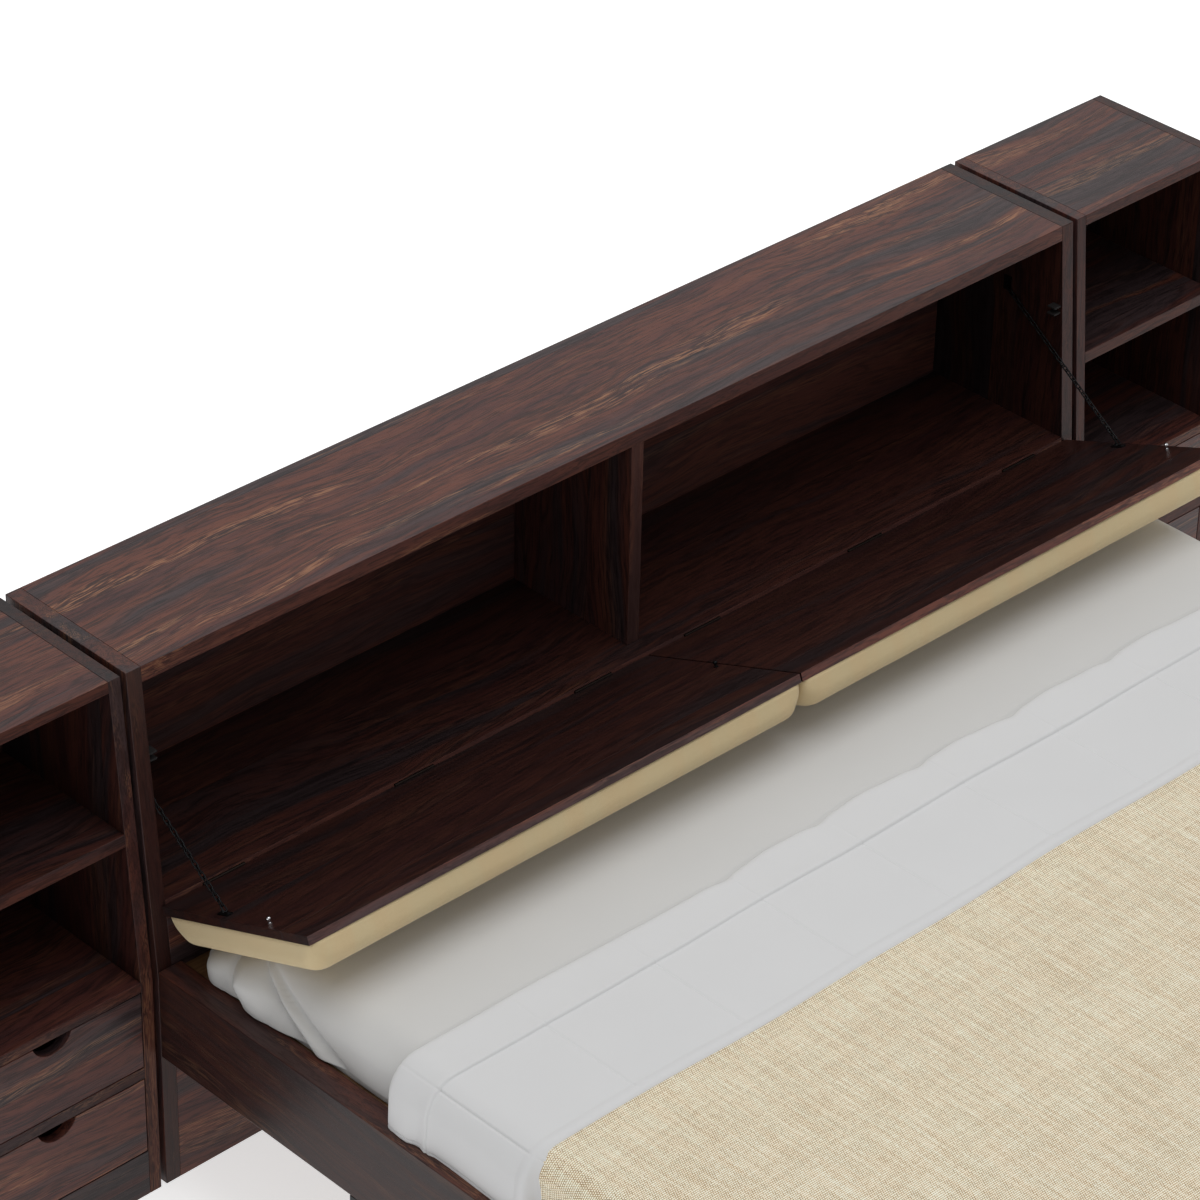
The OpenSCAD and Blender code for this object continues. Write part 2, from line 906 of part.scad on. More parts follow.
stand_base();  // stand_right_base
stand_back();  // stand_right_back
left() drawer_front(upper_drawer_z);  // drawer_left_upper_front
left() drawer_box(upper_drawer_z);  // drawer_left_upper_box
left() drawer_front(lower_drawer_z);  // drawer_left_lower_front
left() drawer_box(lower_drawer_z);  // drawer_left_lower_box
drawer_front(upper_drawer_z);  // drawer_right_upper_front
drawer_box(upper_drawer_z);  // drawer_right_upper_box
drawer_front(lower_drawer_z);  // drawer_right_lower_front
drawer_box(lower_drawer_z);  // drawer_right_lower_box
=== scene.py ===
"""Looks of a storage bed with two nightstands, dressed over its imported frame.

A slant-fronted headboard cabinet with two padded drop-down flaps stands at the head of a low
bed. Boards are the frame's own shapes with their edges eased and a dark figured wood on them.
Bedding, pads, chains and fittings are surfaces worked out with numpy. Metres throughout.
"""

import logging
import math
from dataclasses import dataclass
from enum import Enum
from typing import Any, Mapping, Sequence

import bmesh
import bpy
import numpy as np
from mathutils import Matrix


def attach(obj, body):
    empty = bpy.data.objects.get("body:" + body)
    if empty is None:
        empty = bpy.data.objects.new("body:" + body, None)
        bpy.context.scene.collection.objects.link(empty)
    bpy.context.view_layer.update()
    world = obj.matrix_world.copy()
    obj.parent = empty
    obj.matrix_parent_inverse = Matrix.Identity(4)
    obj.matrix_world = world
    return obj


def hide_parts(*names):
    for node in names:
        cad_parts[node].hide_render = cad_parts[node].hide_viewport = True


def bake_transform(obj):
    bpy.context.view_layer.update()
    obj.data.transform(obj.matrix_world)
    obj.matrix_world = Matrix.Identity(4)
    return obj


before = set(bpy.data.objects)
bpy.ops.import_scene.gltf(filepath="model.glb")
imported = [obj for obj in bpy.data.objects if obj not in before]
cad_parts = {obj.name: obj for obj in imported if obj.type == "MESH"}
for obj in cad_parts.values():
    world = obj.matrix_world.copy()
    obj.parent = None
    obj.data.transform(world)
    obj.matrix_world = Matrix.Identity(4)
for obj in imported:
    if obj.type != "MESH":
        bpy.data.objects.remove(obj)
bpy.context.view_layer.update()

log = logging.getLogger("bed")

Array = np.ndarray
Colour = tuple[float, float, float]
Point = tuple[float, float, float]


# ---------- sizes shared by several pieces ----------


@dataclass(frozen=True)
class Plan:
    """Main sizes of the bed, as its frame has them.

    The headboard's upright front stands at y = front_y, and distances along the bed that are
    called reach are measured from there towards the foot.
    """

    front_y: float = 0.8645
    head_half: float = 0.975
    kink_z: float = 0.381
    lean: float = 0.044 / 0.499
    hinge_z: float = 0.4925
    flap_play: float = 0.0006
    flap_len: float = 0.343
    flap_t: float = 0.014
    flap_in: float = 0.0015
    flap_out: float = 0.957
    flap_open: float = math.radians(21.5)
    pad_t: float = 0.054
    rail_t: float = 0.043
    rail_top: float = 0.390
    platform_z: float = 0.382
    bed_len: float = 2.043
    mattress_len: float = 1.980
    mattress_top: float = 0.488
    chain_x: float = 0.942

    @property
    def hinge_y(self) -> float:
        """How far the hinge line stands behind the foot of the front."""
        return self.lean * (self.hinge_z - self.kink_z) - self.flap_play

    @property
    def foot_y(self) -> float:
        """Inner face of the foot rail, from the headboard's front."""
        return -(self.bed_len - self.rail_t)

    def flap_matrix(self) -> Array:
        """Places what is drawn in the open flap's frame.

        That frame has the hinge line at 0, the board along -y and its inner face up.

        Returns:
            A 4 x 4 matrix: a turn by minus the opening angle about x, then a shift to the hinge.
        """
        turn = Matrix.Rotation(-self.flap_open, 4, "X")
        turn.translation = (0.0, self.front_y + self.hinge_y, self.hinge_z)
        return np.array(turn)


PLAN = Plan()


class Side(Enum):
    """Left or right seen from the foot, with the sign of x there."""

    LEFT = -1
    RIGHT = 1

    @property
    def word(self) -> str:
        """The side's name as the nodes use it."""
        return self.name.lower()


# ---------- meshes from arrays ----------


def spread(*runs: tuple[float, float, int]) -> Array:
    """Values that step evenly inside each run and meet at the runs' ends.

    Args:
        runs: Start, stop and number of steps of each run.

    Returns:
        All values in order, with no value twice.
    """
    parts = [np.linspace(a, b, n + 1)[(1 if k else 0):] for k, (a, b, n) in enumerate(runs)]
    return np.concatenate(parts)


def ease(x: Array, low: float, high: float) -> Array:
    """A smooth step: 0 below low, 1 above high, and 3t^2 - 2t^3 in between."""
    t = np.clip((x - low) / (high - low), 0.0, 1.0)
    return t * t * (3.0 - 2.0 * t)


def bump(x: Array, middle: float | Array, width: float) -> Array:
    """A bell: e to the minus ((x - middle) / width)^2."""
    return np.exp(-(((x - middle) / width) ** 2))


def rolling(x: Array, y: Array, seed: int, waves: Sequence[tuple[float, float, float]]) -> Array:
    """Gentle irregular swell: a sum of crossing sine waves with seeded directions.

    Args:
        x: First coordinate of each point.
        y: Second coordinate of each point.
        seed: Picks the directions and phases.
        waves: Length, height and how far the direction may stray from y, of each group.

    Returns:
        The height at each point, the sum of three waves a group.
    """
    rng = np.random.default_rng(seed)
    height = np.zeros(np.broadcast(x, y).shape)
    for length, tall, stray in waves:
        for _ in range(3):
            turn = rng.uniform(-stray, stray)
            real = length * rng.uniform(0.8, 1.25)
            phase = rng.uniform(0.0, 2.0 * math.pi)
            across = x * math.sin(turn) + y * math.cos(turn)
            height = height + tall / 3.0 * np.sin(2.0 * math.pi * across / real + phase)
    return height


def grid_faces(rows: int, columns: int, ring_rows: bool = False, ring_columns: bool = False) -> Array:
    """Quads of a grid whose points are stored row by row.

    Args:
        rows: Number of points along the first parameter.
        columns: Number of points along the second.
        ring_rows: The last row joins the first.
        ring_columns: The last column joins the first.

    Returns:
        An array of four point numbers a quad, facing first x second parameter.
    """
    i = np.arange(rows if ring_rows else rows - 1)[:, None]
    j = np.arange(columns if ring_columns else columns - 1)[None, :]
    up, right = (i + 1) % rows, (j + 1) % columns
    corners = [i * columns + j, up * columns + j, up * columns + right, i * columns + right]
    return np.stack([np.broadcast_to(c, (i.shape[0], j.shape[1])) for c in corners], -1).reshape(-1, 4)


def rim_of(rows: int, columns: int) -> Array:
    """Point numbers round a grid's edge, each once, in the sense of its faces."""
    first = np.arange(rows) * columns
    last = (rows - 1) * columns + np.arange(1, columns)
    back = np.arange(rows - 2, -1, -1) * columns + columns - 1
    home = np.arange(columns - 2, 0, -1)
    return np.concatenate([first, last, back, home])


def normals_of(points: Array) -> Array:
    """Unit normals of a grid of points: the cross product of its two slopes."""
    a, b = np.gradient(points, axis=0), np.gradient(points, axis=1)
    n = np.cross(a, b)
    return n / np.maximum(np.linalg.norm(n, axis=-1, keepdims=True), 1e-12)


def moved(points: Array, matrix: Array) -> Array:
    """Points carried by a 4 x 4 matrix."""
    return points @ matrix[:3, :3].T + matrix[:3, 3]


def mesh_of(name: str, points: Array, faces: Array, caps: Sequence[Sequence[int]] = (),
            smooth: bool = True) -> bpy.types.Mesh:
    """A mesh from arrays of points and of quads or triangles.

    Args:
        name: The mesh's name.
        points: One row of three numbers a point.
        faces: Point numbers, as many a row as a face has corners.
        caps: Further faces with any number of corners.
        smooth: Shade the faces smooth.

    Returns:
        The new mesh.
    """
    mesh = bpy.data.meshes.new(name)
    mesh.from_pydata(points.reshape(-1, 3), [], faces.tolist() + [list(map(int, c)) for c in caps])
    mesh.polygons.foreach_set("use_smooth", np.full(len(mesh.polygons), smooth))
    mesh.update()
    return mesh


def lay_uv(mesh: bpy.types.Mesh, uv: Array) -> None:
    """Gives a mesh a UV map in metres from one pair of numbers a point."""
    layer = mesh.uv_layers.new(name="cloth")
    corner = np.zeros(len(mesh.loops), np.int32)
    mesh.loops.foreach_get("vertex_index", corner)
    layer.data.foreach_set("uv", uv.reshape(-1, 2)[corner].astype(np.float32).ravel())


def lathe(profile: Sequence[tuple[float, float]], sides: int, matrix: Array) -> tuple[Array, Array]:
    """A turned form: a profile of (radius, height) carried round the z axis.

    Args:
        profile: Radius and height from the foot up; a radius near 0 closes an end.
        sides: Number of steps round.
        matrix: Places the turned form.

    Returns:
        Its points and its quads, facing outwards.
    """
    r, z = np.array(profile, float).T
    turn = np.linspace(0.0, 2.0 * math.pi, sides, endpoint=False)
    points = np.stack([
        r[:, None] * np.cos(turn),
        r[:, None] * np.sin(turn),
        np.broadcast_to(z[:, None], (len(r), sides)),
    ], -1)
    faces = grid_faces(len(r), sides, ring_columns=True)[:, ::-1]
    return moved(points.reshape(-1, 3), matrix), faces


def joined(parts: Sequence[tuple[Array, Array]]) -> tuple[Array, Array]:
    """Several sets of points and quads as one."""
    start = np.cumsum([0] + [len(p) for p, _ in parts[:-1]])
    points = np.concatenate([p for p, _ in parts])
    return points, np.concatenate([f + s for (_, f), s in zip(parts, start)])


def frame_at(place: Sequence[float], z_to: Sequence[float], x_to: Sequence[float] = (1, 0, 0)) -> Array:
    """A 4 x 4 matrix that puts z along one direction and x near another.

    Args:
        place: Where the origin goes.
        z_to: Direction that z takes.
        x_to: Direction that x takes as nearly as it can.

    Returns:
        The matrix, whose columns are x, y = z cross x, z and the place.
    """
    z = np.array(z_to, float) / np.linalg.norm(z_to)
    x = np.array(x_to, float) - np.dot(x_to, z) * z
    x = x / np.linalg.norm(x)
    made = np.eye(4)
    made[:3, 0], made[:3, 1], made[:3, 2], made[:3, 3] = x, np.cross(z, x), z, place
    return made


# ---------- shader maths ----------


class Wire:
    """A value that runs through a finish's nodes, with the usual operators on numbers."""

    def __init__(self, nodes: "NodeBench", socket: bpy.types.NodeSocket) -> None:
        """Wraps a socket of a node on that bench."""
        self.nodes = nodes
        self.socket = socket

    def _maths(self, operation: str, *values: Any) -> "Wire":
        """A Math node with these values in order."""
        return self.nodes.node("ShaderNodeMath", {"operation": operation}, dict(enumerate(values)))

    def __add__(self, other: Any) -> "Wire":
        """Sum."""
        return self._maths("ADD", self, other)

    __radd__ = __add__

    def __sub__(self, other: Any) -> "Wire":
        """Difference."""
        return self._maths("SUBTRACT", self, other)

    def __rsub__(self, other: Any) -> "Wire":
        """Difference from a number."""
        return self._maths("SUBTRACT", other, self)

    def __mul__(self, other: Any) -> "Wire":
        """Product."""
        return self._maths("MULTIPLY", self, other)

    __rmul__ = __mul__

    def __truediv__(self, other: Any) -> "Wire":
        """Quotient."""
        return self._maths("DIVIDE", self, other)

    def __abs__(self) -> "Wire":
        """Size without sign."""
        return self._maths("ABSOLUTE", self)

    def floor(self) -> "Wire":
        """Whole part."""
        return self._maths("FLOOR", self)

    def fract(self) -> "Wire":
        """What is left over the whole part."""
        return self._maths("FRACT", self)

    def sine(self) -> "Wire":
        """Sine of an angle in radians."""
        return self._maths("SINE", self)

    def smooth(self, low: float, high: float) -> "Wire":
        """A smooth step from 0 to 1 as the value goes from low to high."""
        return self.nodes.node("ShaderNodeMapRange", {"interpolation_type": "SMOOTHSTEP"},
                               {"Value": self, "From Min": low, "From Max": high})


class NodeBench:
    """A material's node tree and the few ways that this file adds nodes to it."""

    def __init__(self, name: str) -> None:
        """Starts an empty material of that name."""
        self.material = bpy.data.materials.new(name)
        self.material.use_nodes = True
        self.tree = self.material.node_tree
        self.tree.nodes.clear()

    def node(self, kind: str, settings: Mapping[str, Any] | None = None,
             values: Mapping[int | str, Any] | None = None, out: int | str = 0) -> Wire:
        """Adds one node.

        Args:
            kind: The node's type.
            settings: Its properties, set first. "stops" gives a ramp's (place, colour) pairs.
            values: A number, colour or Wire for each input, by its number or name.
            out: The output that is wanted.

        Returns:
            That output.
        """
        made = self.tree.nodes.new(kind)
        for key, value in (settings or {}).items():
            if key == "stops":
                self._stops(made.color_ramp, value)
            else:
                setattr(made, key, value)
        for key, value in (values or {}).items():
            if isinstance(value, Wire):
                self.tree.links.new(value.socket, made.inputs[key])
            else:
                made.inputs[key].default_value = value
        return Wire(self, made.outputs[out])

    @staticmethod
    def _stops(ramp: bpy.types.ColorRamp, stops: Sequence[tuple[float, Colour]]) -> None:
        """Sets a ramp's stops in order."""
        while len(ramp.elements) < len(stops):
            ramp.elements.new(0.5)
        for element, (place, colour) in zip(ramp.elements, stops):
            element.position = place
            element.color = (*colour, 1.0)

    def object_point(self) -> Wire:
        """The point in the piece's own coordinates."""
        return self.node("ShaderNodeTexCoord", out="Object")

    def cloth_point(self) -> Wire:
        """The point on the piece's own cloth map, in metres."""
        return self.node("ShaderNodeTexCoord", out="UV")

    def parts(self, vector: Wire) -> tuple[Wire, Wire, Wire]:
        """A vector's three numbers."""
        made = self.node("ShaderNodeSeparateXYZ", None, {0: vector})
        return tuple(Wire(self, made.socket.node.outputs[k]) for k in range(3))

    def vector(self, x: Any, y: Any, z: Any) -> Wire:
        """A vector of three numbers."""
        return self.node("ShaderNodeCombineXYZ", None, {0: x, 1: y, 2: z})

    def noise(self, vector: Wire, scale: float, detail: float = 3.0, rough: float = 0.5,
              twist: float = 0.0) -> Wire:
        """Noise between about 0.2 and 0.8 over a vector."""
        return self.node("ShaderNodeTexNoise", {"noise_dimensions": "3D"},
                         {"Vector": vector, "Scale": scale, "Detail": detail,
                          "Roughness": rough, "Distortion": twist})

    def grained(self, place: tuple[Wire, Wire, Wire], along: float, across: float,
                detail: float = 3.0, rough: float = 0.5, twist: float = 0.0) -> Wire:
        """Noise drawn out along the grain.

        Args:
            place: The point along the grain, over the face and through the board.
            along: How many swells a metre holds along the grain.
            across: The same over the face and through the board.
            detail: Number of finer layers.
            rough: Strength of those layers.
            twist: How far the noise bends itself.

        Returns:
            The noise.
        """
        s, a, b = place
        return self.noise(self.vector(s * along, a * across, b * across), 1.0, detail, rough, twist)

    def chance(self, vector: Wire) -> Wire:
        """A number from 0 to 1 that differs from each vector to the next."""
        return self.node("ShaderNodeTexWhiteNoise", {"noise_dimensions": "3D"}, {"Vector": vector})

    def mix(self, share: Any, a: Any, b: Any, blend: str = "MIX") -> Wire:
        """Two colours mixed by a share of the second."""
        return self.node("ShaderNodeMix", {"data_type": "RGBA", "blend_type": blend},
                         {0: share, 6: a if isinstance(a, Wire) else (*a, 1.0),
                          7: b if isinstance(b, Wire) else (*b, 1.0)}, out=2)

    def ramp(self, value: Wire, *stops: tuple[float, Colour]) -> Wire:
        """A colour that changes with a value."""
        return self.node("ShaderNodeValToRGB", {"stops": stops}, {0: value})

    def raised(self, height: Wire, strength: float, depth: float) -> Wire:
        """A normal from a height, for the shader's Normal socket."""
        return self.node("ShaderNodeBump", None,
                         {"Strength": strength, "Distance": depth, "Height": height})

    def finish(self, **sockets: Any) -> bpy.types.Material:
        """Ends the material in one shader.

        Args:
            sockets: Values for the shader's sockets, with _ for a space in each name.

        Returns:
            The material.
        """
        values = {}
        for key, value in sockets.items():
            colour = isinstance(value, tuple) and len(value) == 3
            values[key.replace("_", " ")] = (*value, 1.0) if colour else value
        shader = self.node("ShaderNodeBsdfPrincipled", None, values)
        end = self.tree.nodes.new("ShaderNodeOutputMaterial")
        self.tree.links.new(shader.socket, end.inputs["Surface"])
        return self.material


# ---------- finishes ----------


class Grain(Enum):
    """How a board was cut: which axes run along its grain, over its face and through it."""

    ACROSS_FLAT = (0, 1, 2)
    ACROSS_UPRIGHT = (0, 2, 1)
    UPRIGHT = (2, 1, 0)
    LENGTHWISE = (1, 2, 0)


@dataclass(frozen=True)
class WoodLayers:
    """The noises that a board's figure is made of, from broad to fine, and its plank's luck."""

    shade: Wire
    bands: Wire
    figure: Wire
    streaks: Wire
    dashes: Wire
    bundle: Wire
    pores: Wire


@dataclass(frozen=True)
class DarkWood:
    """Dark figured rosewood with a satin lacquer, glued up from planks.

    The point drifts across the grain by three sizes of slow noise, which gives arches and
    knots. Long stretched noise over that point lays blue-black smoke between red-brown
    fields, thin dark veins follow its level lines, and clusters of fine tan dashes lie where
    a finer figure is high. Each plank takes its own place in the pattern and its own tone.

    tone scales every colour; on boards that lie in shade it is set low as painted shade, and on
    some faces in light it is set high as painted light. warm brings out the tan dashes and the red,
    calm mixes in a plain even wood, and lacquer is the refractive index of the coat.
    """

    name: str
    grain: Grain
    seed: float
    plank_w: float = 0.150
    plank_start: float = 0.0
    tone: float = 1.0
    warm: float = 0.5
    on_flap: bool = False
    calm: float = 0.0
    lacquer: float = 1.31
    joint_w: tuple[float, float] = (0.0011, 0.0003)

    def _tint(self, red: float, green: float, blue: float) -> Colour:
        """A colour of the palette, scaled by the board's tone."""
        return (red * self.tone, green * self.tone, blue * self.tone)

    def _point(self, bench: NodeBench) -> tuple[Wire, Wire, Wire]:
        """The point along the grain, over the face and through the board."""
        at = bench.object_point()
        if self.on_flap:
            back = np.linalg.inv(PLAN.flap_matrix())
            at = bench.node("ShaderNodeMapping", {"vector_type": "POINT"},
                            {"Vector": at, "Location": tuple(back[:3, 3]),
                             "Rotation": (PLAN.flap_open, 0.0, 0.0)})
        xyz = bench.parts(at)
        return tuple(xyz[k] for k in self.grain.value)

    def _layers(self, bench: NodeBench, number: Wire, place: tuple[Wire, Wire, Wire]) -> WoodLayers:
        """The layers of noise at a point of one plank.

        Args:
            bench: The node bench.
            number: The plank's number.
            place: The point along the grain, over the face and through the board.

        Returns:
            The layers.
        """
        along, face, deep = place
        luck = bench.chance(bench.vector(number, self.seed, 0.5))
        shade = bench.chance(bench.vector(number, self.seed + 9.0, 4.5))
        s = along + luck * 7.0 + self.seed * 1.37
        a = face + luck * 1.3 + self.seed * 0.61
        b = deep + self.seed * 0.29
        drift = bench.grained((s, a, b), 0.9, 2.5, 1.0) - 0.5
        sway = bench.grained((s, a, b), 3.4, 8.0, 1.5) - 0.5
        ripple = bench.grained((s, a, b), 15.0, 26.0, 1.0) - 0.5
        a = a + drift * 0.21 + sway * 0.042 + ripple * 0.006
        return WoodLayers(
            shade=shade,
            bands=bench.grained((s, a, b), 0.85, 12.0, 3.0, 0.6, 0.5),
            figure=bench.grained((s, a, b), 1.8, 34.0, 4.0, 0.66),
            streaks=bench.grained((s, a, b), 7.0, 150.0, 3.0, 0.65),
            dashes=bench.grained((s, a, b), 24.0, 620.0, 2.0, 0.6),
            bundle=bench.noise(bench.vector(s * 1.3, a * 30.0, b * 30.0 + 4.0), 1.0, 2.0, 0.55),
            pores=bench.grained((s, a, b), 60.0, 1300.0, 1.0))

    def _colour(self, bench: NodeBench, wood: WoodLayers, pits: Wire, joint: Wire) -> Wire:
        """The colour: smoke and red fields, veins, tan dashes, dark streaks, pits, calm and joints.

        Args:
            bench: The node bench.
            wood: The layers of noise.
            pits: Where the pores are open.
            joint: Where two planks meet.

        Returns:
            The colour.
        """
        level = wood.bands * 0.72 + wood.figure * 0.28 + (wood.shade - 0.5) * 0.05
        red = bench.mix(wood.figure.smooth(0.38, 0.60), self._tint(0.082, 0.027, 0.023),
                        self._tint(0.108 + 0.026 * self.warm, 0.036 + 0.007 * self.warm, 0.026))
        smoke = bench.mix(wood.streaks, self._tint(0.029, 0.017, 0.018), self._tint(0.072, 0.048, 0.050))
        colour = bench.mix(level.smooth(0.395, 0.515), smoke, red)
        vein = abs((wood.bands * 11.0 + wood.figure * 1.4).fract() - 0.5).smooth(0.33, 0.48)
        colour = bench.mix(vein * (wood.streaks.smooth(0.35, 0.6) * 0.45 + 0.15), colour,
                           self._tint(0.012, 0.008, 0.009))
        fleck = wood.dashes.smooth(0.48, 0.60) * (wood.bundle * 0.75 + wood.figure * 0.25).smooth(0.53, 0.62)
        colour = bench.mix(fleck * (0.06 + 0.62 * self.warm), colour, self._tint(0.370, 0.180, 0.090))
        streak = (wood.streaks * 0.45 + wood.dashes * 0.55).smooth(0.52, 0.41)
        colour = bench.mix(streak * 0.72, colour, self._tint(0.013, 0.009, 0.010))
        gap = (0.008, 0.005, 0.005)
        colour = bench.mix(pits * 0.4, colour, gap)
        even = bench.mix(wood.dashes * 0.6 + wood.streaks * 0.4, self._tint(0.030, 0.012, 0.010),
                         self._tint(0.078, 0.034, 0.028))
        colour = bench.mix(self.calm, colour, even)
        return bench.mix(joint * 0.5, colour, gap)

    def material(self) -> bpy.types.Material:
        """Builds the finish."""
        bench = NodeBench(self.name)
        place = self._point(bench)
        strip = (place[1] - self.plank_start) / self.plank_w + 40.0
        wood = self._layers(bench, strip.floor(), place)
        pits = wood.pores.smooth(0.60, 0.70)
        joint = abs(strip.fract() - 0.5).smooth(*(0.5 - wide / self.plank_w for wide in self.joint_w))
        height = wood.dashes * 0.5 + wood.streaks * 0.3 - pits * 0.5 - joint * 1.2
        return bench.finish(Base_Color=self._colour(bench, wood, pits, joint),
                            Roughness=wood.dashes * 0.16 + 0.25 + pits * 0.10, IOR=self.lacquer,
                            Normal=bench.raised(height, 0.35, 0.0004))


@dataclass(frozen=True)
class PaleWood:
    """Plain amber softwood or ply for drawer boxes, platform and cleats."""

    name: str
    grain: Grain
    seed: float
    light: float = 1.0

    def material(self) -> bpy.types.Material:
        """Builds the finish: soft long bands, fine fibres and a matt surface."""
        bench = NodeBench(self.name)
        xyz = bench.parts(bench.object_point())
        along, face, deep = (xyz[k] for k in self.grain.value)
        s, a, b = along + self.seed, face + self.seed * 0.7, deep + self.seed * 0.3
        bands = bench.grained((s, a, b), 1.3, 20.0, 3.0, 0.55, 0.5)
        fibres = bench.grained((s, a, b), 9.0, 380.0, 2.0)
        rings = (bands * 60.0).sine() * 0.5 + 0.5
        level = bands * 0.8 + fibres * 0.3 + rings * 0.12 - 0.10
        stops = ((0.25, (0.105, 0.046, 0.017)), (0.55, (0.215, 0.108, 0.044)), (0.85, (0.330, 0.190, 0.085)))
        colour = bench.ramp(level, *((at, tuple(self.light * c for c in shade)) for at, shade in stops))
        return bench.finish(Base_Color=colour, Roughness=fibres * 0.2 + 0.45,
                            Normal=bench.raised(fibres, 0.3, 0.0003))


@dataclass(frozen=True)
class Cotton:
    """Plain white cotton: a fine thread crossing and slow changes of shade."""

    name: str
    colour: Colour
    thread: float = 0.0007
    crumple: float = 0.3

    def material(self) -> bpy.types.Material:
        """Builds the finish from the cloth map: crossing sines for threads, noise for creases."""
        bench = NodeBench(self.name)
        point = bench.cloth_point()
        u, v, _ = bench.parts(point)
        turn = 2.0 * math.pi / self.thread
        threads = (u * turn).sine() * (v * turn).sine() * 0.5 + 0.5
        slow = bench.noise(bench.vector(u, v, 0.3), 7.0, 3.0)
        creases = bench.noise(bench.vector(u, v, 1.7), 22.0, 4.0, 0.55, 0.6)
        share = slow * 0.5 + threads * 0.12
        dim = tuple(0.93 * c for c in self.colour)
        colour = bench.mix(share, self.colour, dim)
        height = threads * 0.04 + creases * self.crumple
        return bench.finish(Base_Color=colour, Roughness=0.86, Specular_IOR_Level=0.25,
                            Sheen_Weight=0.12, Sheen_Roughness=0.5,
                            Normal=bench.raised(height, 0.5, 0.0012))


@dataclass(frozen=True)
class SlubWeave:
    """Open plain weave of uneven yarn, seen thread by thread.

    On the cloth map in metres, warp and weft pass over each other in a checker of half a
    period. Each thread has its own shade and thickness, and long stretched noise thickens
    and darkens it here and there. softness widens the steps from the dark to the light yarn,
    patches sets how close the slow patches lie, and streak how strong the long streaks are.
    """

    name: str
    ground: Colour
    dark: Colour
    light: Colour
    pitch: float = 0.0018
    row: float = 0.0033
    depth: float = 0.0007
    softness: float = 1.0
    patches: float = 55.0
    streak: float = 1.0

    def _thread(self, bench: NodeBench, across: Wire, along: Wire, pitch: float, seed: float,
                slub_share: float) -> tuple[Wire, Wire]:
        """One set of threads.

        Args:
            bench: The node bench.
            across: Coordinate over the threads.
            along: Coordinate along them.
            pitch: Width of one thread.
            seed: Sets this set apart.
            slub_share: How strongly the yarn's thick places change its shade.

        Returns:
            Round height of the thread, and its shade, both about 0 to 1.
        """
        wander = bench.noise(bench.vector(across * 30.0, along * 9.0, seed), 1.0, 1.0) - 0.5
        wander = wander * (0.5 * pitch)
        place = (across + wander) / pitch + 500.0
        own = bench.chance(bench.vector(place.floor(), seed, 0.5))
        slub = bench.noise(bench.vector(place.floor() * 7.3, along * 24.0, seed + 3.0), 1.0, 2.0) - 0.5
        hump = (place.fract() * math.pi).sine()
        return hump, (own - 0.5) * 0.25 + slub * slub_share + 0.5

    def material(self) -> bpy.types.Material:
        """Builds the finish."""
        bench = NodeBench(self.name)
        u, v, _ = bench.parts(bench.cloth_point())
        warp, warp_shade = self._thread(bench, u, v, self.pitch, 1.0, 0.6)
        weft, weft_shade = self._thread(bench, v, u, self.row, 6.0, 0.5)
        checker = (u * (math.pi / self.pitch)).sine() * (v * (math.pi / self.row)).sine()
        over = checker.smooth(-0.25, 0.25)
        height = warp * (0.45 + over * 0.55) * over + weft * (1.0 - over * 0.45) * (1.0 - over)
        shade = warp_shade * over + weft_shade * (1.0 - over)
        gap_painted_shade = (1.0 - warp) * (1.0 - weft)
        drift = bench.noise(bench.vector(u, v, 0.0), 9.0, 3.0) - 0.5
        stripe = bench.noise(bench.vector(u * 190.0, v * 9.0, 7.0), 1.0, 2.0, 0.6) - 0.5
        shadow = bench.noise(bench.vector(u * 26.0, v * 3.0, 9.0), 1.0, 2.0) - 0.5
        patch = bench.noise(bench.vector(u * 1.5, v * 0.25, 4.0), self.patches, 1.0)
        crossing = bench.vector((u / self.pitch).floor(), (v / self.row).floor(), 2.5)
        # The (weft - 0.64) term makes each weft thread lighter over its round crown and darker at its sides:
        # painted shading of the thread's roundness.
        level = (shade * 0.5 + (bench.chance(crossing) - 0.5) * 0.22 + drift * 0.06
                 + (stripe * 0.68 + shadow * 0.12) * self.streak
                 + (over - 0.5) * 0.55 + (weft - 0.64) * 0.65 + 0.29)
        colour = bench.ramp(level, (0.5 - 0.28 * self.softness, self.dark), (0.5, self.ground),
                            (0.5 + 0.25 * self.softness, self.light))
        # Gaps between the threads are darkened towards a deep brown: painted shade between the threads.
        colour = bench.mix(gap_painted_shade.smooth(0.15, 0.75) * 0.75, colour, tuple(0.45 * c for c in self.dark))
        cast = bench.mix(patch.smooth(0.36, 0.64), (1.0, 0.970, 0.925), (0.990, 1.0, 0.975))
        colour = bench.mix(1.0, colour, cast, "MULTIPLY")
        return bench.finish(Base_Color=colour, Roughness=0.88, Specular_IOR_Level=0.2,
                            Sheen_Weight=0.15, Sheen_Roughness=0.45,
                            Normal=bench.raised(height, 0.65, self.depth))


@dataclass(frozen=True)
class Metal:
    """Steel or plated parts with fine uneven polish."""

    name: str
    colour: Colour
    rough: float
    metallic: float = 1.0
    scale: float = 260.0

    def material(self) -> bpy.types.Material:
        """Builds the finish: noise moves the roughness and shade a little."""
        bench = NodeBench(self.name)
        cloud = bench.noise(bench.object_point(), self.scale, 3.0)
        colour = bench.mix(cloud * 0.5, self.colour, tuple(0.72 * c for c in self.colour))
        return bench.finish(Base_Color=colour, Metallic=self.metallic,
                            Roughness=cloud * 0.16 + self.rough - 0.08,
                            Normal=bench.raised(cloud, 0.15, 0.0001))


HINGE_BRONZE: Colour = (0.022, 0.016, 0.014)


# ---------- joining looks to the frame ----------


